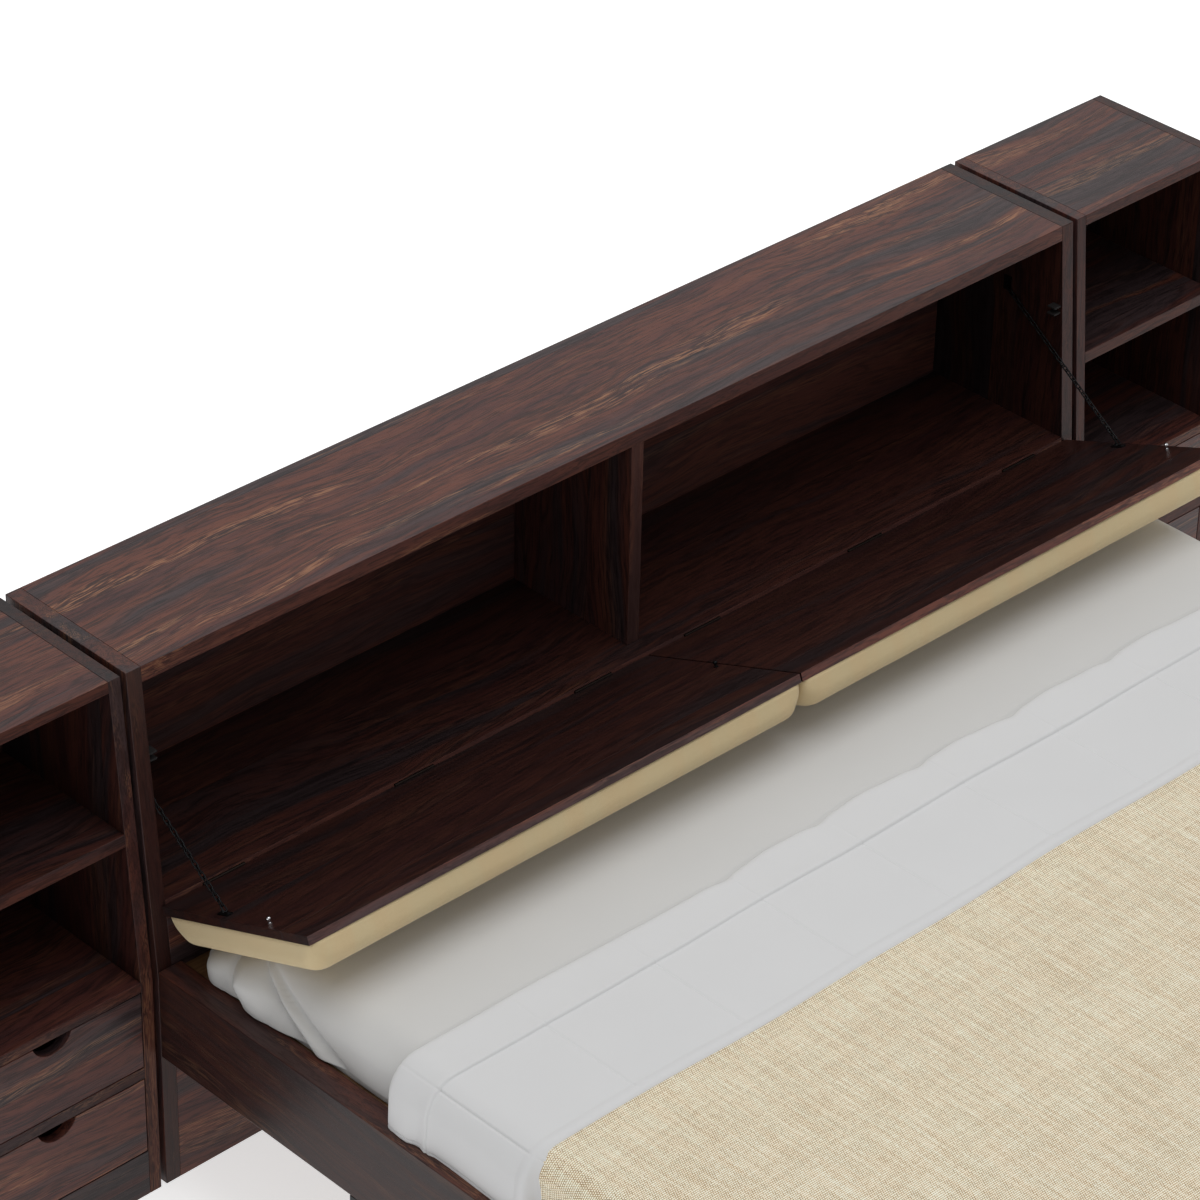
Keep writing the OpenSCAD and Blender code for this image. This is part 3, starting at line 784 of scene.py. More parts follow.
def add_piece(name: str, mesh: bpy.types.Mesh, material: bpy.types.Material,
              body: str | None, stands_for: Sequence[str] = ()) -> bpy.types.Object:
    """Makes a finished piece of the bed.

    Args:
        name: The piece's name.
        mesh: Its mesh, in place.
        material: Its finish.
        body: The body it rides on, or None for a piece that rides on no body.
        stands_for: Nodes that it replaces.

    Returns:
        The new object.
    """
    obj = bpy.data.objects.new(name, mesh)
    bpy.context.scene.collection.objects.link(obj)
    mesh.materials.clear()
    mesh.materials.append(material)
    if body is not None:
        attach(obj, body)
    if stands_for:
        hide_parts(*stands_for)
    log.info("%s: %d faces", name, len(mesh.polygons))
    return obj


def dress_node(node: str, material: bpy.types.Material) -> None:
    """Gives a node of the frame that stays in view a finish of its own."""
    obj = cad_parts[node]
    obj.data.materials.clear()
    obj.data.materials.append(material)
    log.info("%s: %s", node, material.name)


def shape_of_node(node: str) -> bmesh.types.BMesh:
    """A node's shape with its loose triangles joined and its flat faces made whole."""
    work = bmesh.new()
    work.from_mesh(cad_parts[node].data)
    bmesh.ops.remove_doubles(work, verts=work.verts, dist=2e-6)
    bmesh.ops.dissolve_limit(work, angle_limit=math.radians(0.8), verts=work.verts, edges=work.edges)
    return work


@dataclass(frozen=True)
class Board:
    """One board of the frame, its arrises eased and its own wood on it."""

    node: str
    body: str
    wood: DarkWood | PaleWood | Metal
    slot: str = "dark_wood"
    arris: float = 0.0009
    edging: DarkWood | None = None
    edge_to: Point = (0.0, -1.0, 0.0)

    def _lay_edging(self, mesh: bpy.types.Mesh) -> None:
        """Gives the faces that look along edge_to, within 18 degrees, the edging's finish."""
        mesh.materials.append(self.edging.material())
        n = np.empty(len(mesh.polygons) * 3)
        mesh.polygons.foreach_get("normal", n)
        faces_front = n.reshape(-1, 3) @ np.array(self.edge_to) > 0.95
        mesh.polygons.foreach_set("material_index", faces_front.astype(np.int32))

    def build(self) -> None:
        """Makes the board: the node's shape with each sharp edge rounded in two steps."""
        work = shape_of_node(self.node)
        work.verts.index_update()
        points = np.array([v.co for v in work.verts])
        mesh = bpy.data.meshes.new(self.node)
        mesh.from_pydata(points, [], [[v.index for v in f.verts] for f in work.faces])
        work.free()
        mesh.polygons.foreach_set("use_smooth", np.ones(len(mesh.polygons), bool))
        mesh.set_sharp_from_angle(angle=math.radians(35))
        obj = add_piece(self.node + "_eased", mesh, self.wood.material(), self.body,
                        [self.node])
        if self.edging is not None:
            self._lay_edging(mesh)
        rounding = obj.modifiers.new("arris", "BEVEL")
        rounding.width = self.arris
        rounding.segments = 2
        rounding.limit_method = "ANGLE"
        rounding.angle_limit = math.radians(35)
        rounding.harden_normals = True


# ---------- soft lids ----------


@dataclass(frozen=True)
class Lid:
    """A soft surface over a plan with round corners that bends over its edge and hangs.

    Two parameters run from -2 to 2. Up to 1 they cross the straight part of the plan, and from
    there to 2 they run out over the edge. In a corner the square of the two is bent into a
    quarter disc, and the distance r from its middle goes flat, round the edge and down.
    """

    half_x: float
    half_y: float
    corner_r: float
    edge_r: float
    drop: float

    @property
    def reach(self) -> float:
        """Length along the surface from the straight part to the hem."""
        return self.corner_r - self.edge_r + self.edge_r * math.pi / 2 + self.drop - self.edge_r

    def surface(self, a: Array, b: Array) -> tuple[Array, Array]:
        """Points and flat cloth coordinates for two sets of parameters.

        Args:
            a: Parameters across, from -2 to 2.
            b: Parameters along, from -2 to 2.

        Returns:
            An array of points with the crown at 0, and one of cloth coordinates in metres.
        """
        a, b = a[:, None], b[None, :]
        u, v = np.maximum(np.abs(a) - 1.0, 0.0), np.maximum(np.abs(b) - 1.0, 0.0)
        qx = self.reach * u * np.sqrt(1.0 - v * v / 2.0)
        qy = self.reach * v * np.sqrt(1.0 - u * u / 2.0)
        r = np.hypot(qx, qy)
        over = r - self.corner_r + self.edge_r
        turn = np.clip(over / self.edge_r, 0.0, math.pi / 2)
        out = np.where(over <= 0.0, r, self.corner_r - self.edge_r + self.edge_r * np.sin(turn))
        past = np.maximum(over - self.edge_r * math.pi / 2, 0.0)
        fall = self.edge_r * (1.0 - np.cos(turn)) + past
        k = np.where(r > 0.0, out / np.maximum(r, 1e-9), 0.0)
        flat_x, flat_y = self.half_x - self.corner_r, self.half_y - self.corner_r
        sx, sy = np.sign(a), np.sign(b)
        shape = np.broadcast(a, b).shape
        x = sx * (np.minimum(np.abs(a), 1.0) * flat_x + k * qx)
        y = sy * (np.minimum(np.abs(b), 1.0) * flat_y + k * qy)
        points = np.stack([x, y, -fall], -1)
        uv = np.stack([np.broadcast_to(sx * (np.minimum(np.abs(a), 1.0) * flat_x + qx), shape),
                       np.broadcast_to(sy * (np.minimum(np.abs(b), 1.0) * flat_y + qy), shape)], -1)
        return points, uv


# ---------- the headboard ----------


@dataclass(frozen=True)
class Headboard:
    """The slant-fronted cabinet: sides, top, floor, divider, back and the boards below."""

    body: str = "bed"
    edge_lacquer: float = 1.20

    def build(self) -> None:
        """Makes every board of the cabinet and dresses its catches.

        After its seed, each wood has its planks' width and the place of a joint.
        """
        upright, flat, across = Grain.UPRIGHT, Grain.ACROSS_FLAT, Grain.ACROSS_UPRIGHT
        # The floor (0.44) and the right side (0.40), whose inner face lies inside the cabinet, are darkened
        # as painted shade; the back (1.2) is set lighter as painted light inside the cabinet.
        cuts = {
            "head_side_left": DarkWood("side_left_wood", upright, 1.3, 0.165, 0.02, tone=0.85),
            "head_side_right": DarkWood("side_right_wood", upright, 2.9, 0.165, 0.05, tone=0.40, warm=0.1),
            "head_top": DarkWood("top_wood", flat, 5.2, 0.300, 0.860, tone=1.0, warm=0.9),
            "head_floor": DarkWood("floor_wood", flat, 7.7, 0.150, 0.90, tone=0.44, warm=0.1),
            "head_divider": DarkWood("divider_wood", upright, 3.1, 0.14, 0.02, tone=0.80, warm=0.1),
            "head_back": DarkWood("back_wood", across, 11.4, 0.118, 0.03, tone=1.2, warm=0.3, calm=0.35),
            "head_lower_front": DarkWood("lower_front_wood", across, 4.6, 0.13),
            "hinge_rail": DarkWood("hinge_rail_wood", across, 6.6, 0.2, 0.3),
        }
        # Faces that look towards the foot get a copy of the board's wood with a tone of their own: the
        # floor's front edge at 1.6 is a painted highlight along its joint with the flaps, and the left side's
        # front edge at 0.50 is painted shade.
        edges = {
            "head_side_left": DarkWood("side_left_edge", upright, 1.6, 0.165, 0.02, tone=0.50, calm=0.6),
            "head_side_right": DarkWood("side_right_edge", upright, 2.2, 0.165, 0.05, tone=0.70, calm=0.4,
                                        lacquer=self.edge_lacquer),
            "head_top": DarkWood("top_edge", flat, 5.9, 0.300, 0.860, tone=0.95, warm=0.6, calm=0.35,
                                 lacquer=self.edge_lacquer),
            "head_floor": DarkWood("floor_edge", flat, 7.1, 0.150, 0.90, tone=1.6, warm=0.5, calm=0.6),
            "head_divider": DarkWood("divider_edge", upright, 3.4, 0.14, 0.02, tone=1.0, calm=0.7),
        }
        for node, wood in cuts.items():
            Board(node, self.body, wood, edging=edges.get(node)).build()
        bronze = Metal("catch_bronze", (0.006, 0.004, 0.004), 0.85, metallic=0.1)
        Board("catch_keepers", self.body, bronze, "steel", arris=0.0004).build()
        dress_node("hinge_leaves", Metal("hinge_bronze", HINGE_BRONZE, 0.45).material())
        dress_node("stand_bolts", Metal("bolt_steel", (0.50, 0.49, 0.47), 0.32).material())


# ---------- flaps ----------


@dataclass(frozen=True)
class Pad:
    """The stuffed outer face of a flap: a crowned lid whose front is drawn in.

    rear is its distance from the hinge line, and seat the gap between it and the board.
    """

    side: Side
    corner_r: float = 0.034
    edge_r: float = 0.029
    rear: float = 0.008
    crown: float = 0.003
    draw_in: float = 0.003
    seat: float = 0.0003

    def _square_off(self, points: Array, half_x: float, half_y: float, height: float) -> Array:
        """Shift that makes the plan's round corners squarer towards the board.

        In a corner a circle x^n + y^n = 1 with n = 2 becomes one with n = 6 at the hem.

        Args:
            points: The lid's points.
            half_x: Half its length.
            half_y: Half its width.
            height: How far the hem is below the crown.

        Returns:
            The shift across and along at each point.
        """
        flat = np.array([half_x - self.corner_r, half_y - self.corner_r])
        out = np.maximum(np.abs(points[..., :2]) - flat, 0.0)
        r = np.maximum(np.hypot(out[..., 0], out[..., 1]), 1e-9)
        n = 2.0 + 4.0 * ease(-points[..., 2] / height, 0.35, 1.0)
        c = np.maximum(out / r[..., None], 1e-9)
        grow = (c[..., 0] ** n + c[..., 1] ** n) ** (-1.0 / n) - 1.0
        return np.sign(points[..., :2]) * out * grow[..., None]

    def build(self, cloth: bpy.types.Material) -> None:
        """Makes the pad.

        The lid is turned crown down under the open flap's board. Its crown falls off as
        (1 - a^2)(1 - b^2), its front is drawn in between the corners, and slow waves show
        where the cloth is pulled over the edge.

        Args:
            cloth: The cover's material.
        """
        half_x = (PLAN.flap_out - PLAN.flap_in) / 2
        half_y = (PLAN.flap_len - self.rear) / 2
        height = PLAN.pad_t - self.crown
        lid = Lid(half_x, half_y, self.corner_r, self.edge_r, height)
        a = spread((-2, -1, 14), (-1, 1, 120), (1, 2, 14))
        b = spread((-2, -1, 14), (-1, 1, 40), (1, 2, 14))
        points, uv = lid.surface(a, b)
        points[..., :2] += self._square_off(points, half_x, half_y, height)
        pa, pb = points[..., 0] / half_x, points[..., 1] / half_y
        swell = self.crown * (1 - pa**2) * (1 - pb**2) - self.crown
        over = ease(-points[..., 2], 0.004, 0.020) * ease(points[..., 2] + height, 0.002, 0.012)
        pull = rolling(points[..., 0], points[..., 1], 4 + self.side.value,
                       [(0.16, 0.0006, 1.2), (0.05, 0.00022, 1.5)])
        n = normals_of(points)
        points = points + n * (pull * (0.35 + 0.65 * over))[..., None]
        points[..., 1] *= 1 - self.draw_in / half_y * (1 - pa**2) * pb**2
        points[..., 2] = np.minimum(points[..., 2], 0.0) + swell * ease(
            points[..., 2] + height, 0.0, 0.010) + PLAN.pad_t
        points[..., 2] = np.maximum(points[..., 2], 0.0)
        rim = rim_of(len(a), len(b))
        points.reshape(-1, 3)[rim, 2] = 0.0
        points[..., 2] *= -1.0
        points += np.array([(PLAN.flap_in + PLAN.flap_out) / 2, -half_y - self.rear,
                            -PLAN.flap_t - self.seat])
        points[..., 0] *= self.side.value
        points = moved(points, PLAN.flap_matrix())
        faces = grid_faces(len(a), len(b))
        turned = self.side is Side.RIGHT
        mesh = mesh_of("pad", points, faces[:, ::-1] if turned else faces,
                       [rim if turned else rim[::-1]])
        lay_uv(mesh, uv)
        body = "flap_" + self.side.word
        obj = add_piece(body + "_cushion", mesh, cloth, body, [body + "_pad"])


@dataclass(frozen=True)
class Fittings:
    """Chain plate with its eye and bright side stud on a flap's inner face.

    The left flap has a dark stop pin near its middle end too. A stud's three numbers are its
    place from the bed's middle, its place from the hinge line and its height. eye_back is how
    far the eye's post stands from the chain's end, along the board and down from it.
    """

    side: Side
    chain_low: tuple[float, float] = (0.134, 0.009)
    plate: Point = (0.013, 0.026, 0.0015)
    eye_back: float = 0.0045
    side_stud: Point = (0.943, 0.240, 0.010)
    stop_pin: Point = (0.0125, 0.170, 0.010)

    def _stud(self, at: Point, sides: int = 28) -> tuple[Array, Array]:
        """A turned pin with a collar, a neck and a domed head."""
        h = at[2]
        profile = [(1e-5, 0.0), (0.0035, 0.0), (0.0035, 0.0012), (0.0022, 0.0017), (0.0021, h * 0.48),
                   (0.0033, h * 0.60), (0.0035, h * 0.72), (0.0031, h * 0.88), (0.0020, h * 0.97),
                   (1e-5, h)]
        return lathe(profile, sides, frame_at((at[0] * self.side.value, -at[1], 0.0), (0, 0, 1)))

    def _plate(self) -> list[tuple[Array, Array]]:
        """The chain's plate with two screw heads and the eye's post.

        The plate's outline is an oval whose sine and cosine are raised to a small power, which
        makes it nearly square.

        Returns:
            Points and quads of the plate, the two heads and the post.
        """
        w, l, t = self.plate
        x, y = PLAN.chain_x * self.side.value, -self.chain_low[0]
        turn = np.linspace(0.0, 2.0 * math.pi, 40, endpoint=False)
        square = 0.35
        ox = np.sign(np.cos(turn)) * np.abs(np.cos(turn)) ** square * w / 2
        oy = np.sign(np.sin(turn)) * np.abs(np.sin(turn)) ** square * l / 2
        scale = np.array([1e-4, 1.0, 1.0, 0.90, 1e-4])
        z = np.array([0.0, 0.0, t * 0.7, t, t])
        points = np.stack([x + scale[:, None] * ox, y + scale[:, None] * oy,
                           np.broadcast_to(z[:, None], (5, 40))], -1).reshape(-1, 3)
        faces = grid_faces(5, 40, ring_columns=True)[:, ::-1]
        head = [(1e-5, t - 0.0002), (0.0027, t - 0.0002), (0.0024, t + 0.0007), (0.0012, t + 0.0011),
                (0.0007, t + 0.0005), (1e-5, t + 0.0003)]
        screws = [lathe(head, 20, frame_at((x, y + s * l * 0.33, 0.0), (0, 0, 1))) for s in (-1, 1)]
        top = self.chain_low[1] - self.eye_back
        post = lathe([(1e-5, 0.0), (0.0026, t), (0.0016, t + 0.001), (0.0016, top),
                      (0.0012, top + 0.0006), (1e-5, top + 0.0006)], 20,
                     frame_at((x, y + self.eye_back, 0.0), (0, 0, 1)))
        return [(points, faces), *screws, post]

    def build(self, black: bpy.types.Material, bright: bpy.types.Material, chain: "Chain") -> None:
        """Makes the plate with its eye, the side stud and on the left flap the stop pin.

        Args:
            black: Finish of the plate, the eye and the stop pin.
            bright: Finish of the side stud.
            chain: The chain, which gives the eye's shape.
        """
        body = "flap_" + self.side.word
        place = PLAN.flap_matrix()
        pins = [self._stud(self.stop_pin)] if self.side is Side.LEFT else []
        points, faces = joined(self._plate() + pins)
        points, faces = joined([(moved(points, place), faces), chain.ring(chain.links + 1)])
        mesh = mesh_of("plate", points, faces)
        mesh.set_sharp_from_angle(angle=math.radians(40))
        add_piece(body + "_chain_plate", mesh, black, body, [body + "_fittings"])
        points, faces = self._stud(self.side_stud)
        mesh = mesh_of("stud", moved(points, place), faces)
        mesh.set_sharp_from_angle(angle=math.radians(50))
        add_piece(body + "_catch_stud", mesh, bright, body)


@dataclass(frozen=True)
class Chain:
    """A black stay chain of oval links from the side panel's eye to the flap's eye.

    Link n stands at the n-th equal part of the straight run and is turned a quarter about
    it after the one before. play and side_play are the room that a link leaves its
    neighbours, lengthwise and on each side.
    """

    side: Side
    high: tuple[float, float] = (0.145, 0.730)
    low: tuple[float, float] = (0.134, 0.009)
    links: int = 33
    wire: float = 0.0024
    play: float = 0.0011
    side_play: float = 0.0008

    def ends(self) -> tuple[Array, Array]:
        """Where the run starts and ends, as points."""
        x = PLAN.chain_x * self.side.value
        start = np.array([x, PLAN.front_y + self.high[0], self.high[1]])
        end = moved(np.array([[x, -self.low[0], self.low[1]]]), PLAN.flap_matrix())[0]
        return start, end

    def ring(self, number: int, along: int = 14, round_: int = 6) -> tuple[Array, Array]:
        """One link: a round wire bent into an oval of two straights and two half circles.

        Args:
            number: Which link, from 0 at the side panel.
            along: Steps of the wire's path.
            round_: Steps round the wire.

        Returns:
            Points and quads of the link in place.
        """
        start, end = self.ends()
        pitch = np.linalg.norm(end - start) / (self.links + 1)
        long, wide = pitch + self.play + self.wire, 2 * self.wire + 2 * self.side_play
        straight = (long - wide) / 2
        turn = np.linspace(0.0, 2.0 * math.pi, along, endpoint=False) + math.pi / along
        px = np.cos(turn) * wide / 2 + np.sign(np.cos(turn)) * straight
        py = np.sin(turn) * wide / 2
        out = np.stack([np.cos(turn), np.sin(turn), np.zeros(along)], -1)
        path = np.stack([px, py, np.zeros(along)], -1)
        ring = np.linspace(0.0, 2.0 * math.pi, round_, endpoint=False)
        r = self.wire / 2
        points = (path[:, None] + out[:, None] * (r * np.cos(ring))[None, :, None]
                  + np.array([0.0, 0.0, 1.0]) * (r * np.sin(ring))[None, :, None])
        run = (end - start) / np.linalg.norm(end - start)
        middle = start + (end - start) * number / (self.links + 1)
        flat = np.array([1.0, 0.0, 0.0]) if number % 2 == 0 else np.cross([1.0, 0.0, 0.0], run)
        place = np.eye(4)
        place[:3, 0], place[:3, 1], place[:3, 2], place[:3, 3] = run, flat, np.cross(run, flat), middle
        faces = grid_faces(along, round_, ring_rows=True, ring_columns=True)
        return moved(points.reshape(-1, 3), place), faces[:, ::-1]

    def build(self, black: bpy.types.Material) -> None:
        """Makes the chain between its two eyes, in the open flap's pose, fixed in place."""
        node = "chain_" + self.side.word
        points, faces = joined([self.ring(n) for n in range(1, self.links + 1)])
        obj = add_piece(node + "_links", mesh_of(node, points, faces), black, None,
                        [node])
        start, end = self.ends()
        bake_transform(obj)


@dataclass(frozen=True)
class Flaps:
    """The two drop-down flaps with their pads, hinges, chains and catches."""

    plank_w: float = 0.142
    lipping_w: float = 0.0601

    def build(self) -> None:
        """Makes both flaps and the chains' anchors."""
        cloth = SlubWeave("pad_weave", (0.640, 0.505, 0.300), (0.570, 0.440, 0.255), (0.700, 0.575, 0.370),
                          pitch=0.0011, row=0.0011, depth=0.00015, softness=1.6, patches=16.0,
                          streak=0.2).material()
        black = Metal("blackened_steel", (0.012, 0.012, 0.013), 0.38, metallic=0.85).material()
        bright = Metal("bright_steel", (0.78, 0.78, 0.80), 0.16).material()
        ahead = (0.0, -math.cos(PLAN.flap_open), math.sin(PLAN.flap_open))
        joint = -PLAN.flap_len + self.lipping_w
        for side, seed in ((Side.LEFT, 3.7), (Side.RIGHT, 8.9)):
            body = "flap_" + side.word
            # The board's tone of 0.37 is painted shade: its inner face lies in the shadow of the cabinet
            # above it.
            wood = DarkWood(body + "_wood", Grain.ACROSS_FLAT, seed, self.plank_w, joint,
                            tone=0.37, warm=0.1, on_flap=True, calm=0.12)
            lipping = DarkWood(body + "_lipping", Grain.ACROSS_FLAT, seed + 0.6, self.plank_w, joint,
                               tone=1.50, warm=0.3, on_flap=True, calm=0.2)
            Board(body + "_board", body, wood, arris=0.0007, edging=lipping, edge_to=ahead).build()
            Pad(side).build(cloth)
            chain = Chain(side)
            chain.build(black)
            Fittings(side).build(black, bright, chain)
            dress_node(body + "_hinges", Metal(body + "_hinge_bronze", HINGE_BRONZE, 0.45).material())
        dress_node("chain_anchors", black)


# ---------- nightstands ----------


@dataclass(frozen=True)
class Nightstand:
    """One nightstand: two sides, top, shelf, deck, boards between, back and two drawers."""

    side: Side
    edge_lacquer: float = 1.20

    def build(self) -> None:
        """Makes the boards and the drawers."""
        word, k = self.side.word, float(self.side.value)
        stem = f"stand_{word}_"
        # The side panel on each stand's +x side, whose -x face lies inside the stand, is darker (0.48 against
        # 0.88), and the shelves are darkened too: painted shade inside the stands.
        cuts = {
            "inner_side": (Grain.UPRIGHT, 12.1, 0.68 + 0.2 * k),
            "outer_side": (Grain.UPRIGHT, 14.7, 0.68 - 0.2 * k),
            "top": (Grain.ACROSS_FLAT, 16.3, 1.0), "shelf": (Grain.ACROSS_FLAT, 18.9, 0.68 + 0.1 * k),
            "deck": (Grain.ACROSS_FLAT, 20.2, 0.85), "middle_board": (Grain.ACROSS_FLAT, 22.8, 0.9),
            "base": (Grain.ACROSS_UPRIGHT, 24.4, 0.60), "back": (Grain.ACROSS_UPRIGHT, 26.6, 0.8),
        }
        for part, (grain, seed, tone) in cuts.items():
            wood = DarkWood(stem + part + "_wood", grain, seed + 31.0 * k, 0.150, 0.03, tone=tone,
                            warm=0.6 if part == "top" else 0.2)
            edge = DarkWood(stem + part + "_edge", grain, seed + 33.0 * k, 0.150, 0.03, tone=0.74,
                            warm=0.5, calm=0.3, lacquer=self.edge_lacquer)
            Board(stem + part, "bed", wood, edging=None if part in ("base", "back") else edge).build()
        for level, seed in (("upper", 41.5), ("lower", 44.3)):
            body = f"drawer_{word}_{level}"
            front = DarkWood(body + "_wood", Grain.ACROSS_UPRIGHT, seed + 7.0 * k, 0.20, 0.1, tone=0.95,
                             warm=0.6)
            Board(body + "_front", body, front).build()
            box = PaleWood(body + "_ply", Grain.LENGTHWISE, seed + k)
            Board(body + "_box", body, box, "light_wood", arris=0.0005).build()


# ---------- the bed ----------


@dataclass(frozen=True)
class BedFrame:
    """Side and foot rails, legs, platform, cleats and the metalwork under it."""

    def build(self) -> None:
        """Makes the rails and dresses what lies under the bedding."""
        rails = {
            "rail_left": DarkWood("rail_left_wood", Grain.LENGTHWISE, 51.2, 0.2, 0.2, tone=1.0, warm=0.8,
                                  calm=0.40),
            "rail_right": DarkWood("rail_right_wood", Grain.LENGTHWISE, 53.9, 0.2, 0.2, tone=0.84, warm=0.6),
            "foot_rail": DarkWood("foot_rail_wood", Grain.ACROSS_UPRIGHT, 56.5, 0.2, 0.2, tone=1.0, warm=0.6),
        }
        # The left rail's outer face takes the rail's own pattern (the same seed) at tone 0.45 against the
        # top's 1.0: painted shade on the face that looks outwards, -x.
        outer = DarkWood("rail_left_outer_shaded_wood", Grain.LENGTHWISE, 51.2, 0.2, 0.2, tone=0.45, warm=0.6,
                         calm=0.35)
        for node, wood in rails.items():
            Board(node, "bed", wood, arris=0.0015, edging=outer if node == "rail_left" else None,
                  edge_to=(-1.0, 0.0, 0.0)).build()
        legs = Metal("leg_steel", (0.015, 0.015, 0.016), 0.45, metallic=0.6)
        for node in ("side_legs", "centre_legs"):
            Board(node, "bed", legs, "black_steel", arris=0.0012).build()
        for node, grain, seed in (("centre_beam", Grain.LENGTHWISE, 61.0), ("cleats", Grain.LENGTHWISE, 62.0),
                                  ("platform_head", Grain.ACROSS_FLAT, 63.0),
                                  ("platform_foot", Grain.ACROSS_FLAT, 64.0)):
            dress_node(node, PaleWood(node + "_ply", grain, seed, light=0.8).material())
        for node in ("corner_brackets", "bed_screws"):
            dress_node(node, Metal(node + "_steel", (0.52, 0.51, 0.49), 0.38).material())


# ---------- bedding ----------


@dataclass(frozen=True)
class Mattress:
    """The mattress in its fitted sheet, pressed under the open flaps at its head.

    Each valley of the corner's gathers has its distance from the headboard's front at the
    rail, its lean towards the head and its depth. lobe_out says how far the cloth bulges
    between one valley and the next. The groove lies just behind the turned sheet's roll.
    """

    seat: float = 0.0003
    rail_play: float = 0.007
    foot_play: float = 0.004
    corner_r: float = 0.064
    edge_r: float = 0.050
    crown: float = 0.002
    draw_in: float = 0.004
    pad_room: float = 0.006
    groove: float = 0.0035
    groove_y: float = 0.0060
    groove_w: float = 0.0048
    valleys: tuple[tuple[float, float, float], ...] = (
        (-0.470, 0.2, 0.0), (-0.354, 2.1, 0.007), (-0.284, 1.55, 0.018), (-0.138, 0.55, 0.009),
        (-0.050, 0.30, 0.003), (0.060, 0.0, 0.0))
    lobe_out: tuple[float, ...] = (0.003, 0.013, 0.022, 0.012, 0.006)
    slack_y: tuple[float, ...] = (-0.50, -0.43, -0.33, -0.284, -0.20, -0.14, -0.10, -0.05, 0.0)
    slack_out: tuple[float, ...] = (0.0, 0.001, 0.0, 0.000, -0.005, 0.008, 0.001, 0.002, 0.0)

    def _under_pad(self, y: Array) -> Array:
        """Underside of the open pad at y from the front, less a little room."""
        depth = PLAN.flap_t + PLAN.pad_t + self.pad_room
        slope = math.tan(PLAN.flap_open)
        return PLAN.hinge_z - depth / math.cos(PLAN.flap_open) + (PLAN.hinge_y - y) * slope

    def _gathers(self, y: Array, z: Array) -> Array:
        """How far the fitted sheet's corner gathers stand out.

        Each valley is a slanting line with its own depth. Between two of them the cloth bulges
        as a power of a half sine whose crest leans towards the head, over a slack that runs
        straight from one place to the next. All of it dies away towards the top.

        Args:
            y: Distance from the headboard's front.
            z: Height.

        Returns:
            The push outwards in metres.
        """
        low = PLAN.rail_top
        lines = [at + lean * (z - low) for at, lean, _ in self.valleys]
        parts = [np.clip((y - a) / (b - a), 0.0, 1.0) for a, b in zip(lines, lines[1:])]
        phase = sum(parts)
        number = np.clip(np.floor(phase).astype(int), 0, len(self.lobe_out) - 1)
        size = np.array(self.lobe_out)[number]
        wave = np.abs(np.sin(math.pi * (phase - np.floor(phase)) ** 1.35)) ** 0.7
        slack = np.interp(y, self.slack_y, self.slack_out)
        fade = 1.0 - ease(z, low + 0.040, low + 0.097)
        foot = ease(z, low - 0.001, low + 0.004)
        nip = sum(deep * bump(y, line, 0.009) for line, (_, _, deep) in zip(lines, self.valleys))
        return (slack + size * wave - nip * ease(z, low + 0.001, low + 0.016)) * fade * foot

    def build(self, cotton: bpy.types.Material) -> None:
        """Makes the mattress.

        A lid stands from the platform up. Its height is cut in the share that fits under the
        pads, its sides are drawn in by a^2 (1 - b^2), and gathers and slow folds push them out.

        Args:
            cotton: The fitted sheet's material.
        """
        low = PLAN.platform_z + self.seat
        height = PLAN.mattress_top - low
        half_x = PLAN.head_half - PLAN.rail_t - self.rail_play
        half_y = PLAN.mattress_len / 2
        mid = PLAN.foot_y + self.foot_play + half_y
        lid = Lid(half_x, half_y, self.corner_r, self.edge_r, height - self.crown)
        a = spread((-2, -1.84, 14), (-1.84, -1, 26), (-1, 1, 110), (1, 1.84, 26), (1.84, 2, 14))
        b = spread((-2, -1, 14), (-1, 0.45, 34), (0.45, 1, 190), (1, 2, 30))
        points, uv = lid.surface(a, b)
        pa, pb = points[..., 0] / half_x, points[..., 1] / half_y
        y = mid + points[..., 1]
        swell = self.crown * (1 - pa**2) * (1 - pb**2) - self.crown
        free = points[..., 2] + swell + height
        soft = rolling(points[..., 0], points[..., 1], 11, [(0.55, 0.0012, 1.5), (0.16, 0.0004, 1.5)])
        hang = ease(-points[..., 2], 0.01, 0.05)
        free = free + soft * (1 - hang) * ease(free, 0.02, 0.08)
        room = np.minimum(1.0, (self._under_pad(y) - low) / height)
        z = low + np.maximum(free, 0.0) * room
        behind_roll = bump(y, TurnedSheet().roll_line(points[..., 0]) + self.groove_y, self.groove_w)
        z = z - self.groove * behind_roll * (1 - hang)
        pull = 1 - self.draw_in / half_x * pa**2 * (1 - pb**2)
        x = points[..., 0] * pull
        side = np.sign(x) * ease(np.abs(pa), 0.955, 0.990)
        folds = rolling(y, z * 0.5, 23, [(0.14, 0.0010, 0.5), (0.05, 0.0004, 0.7)])
        along = ease(y, -0.80, -0.30)
        x = x + side * (self._gathers(y, z) + folds * hang * (0.4 + along) * ease(z, 0.388, 0.40))
        made = np.stack([x, PLAN.front_y + y, z], -1)
        rim = rim_of(len(a), len(b))
        made.reshape(-1, 3)[rim, 2] = low
        mesh = mesh_of("mattress", made, grid_faces(len(a), len(b)), [rim[::-1]])
        lay_uv(mesh, uv)
        obj = add_piece("fitted_mattress", mesh, cotton, "bed", ["mattress"])


def blanket_stray(x: Array) -> Array:
    """How far the blanket's head edge strays at x, and the sheet's ridge with it."""
    return 0.0028 * np.sin(x * 5.2 + 0.5) + 0.0018 * np.sin(x * 15.0)


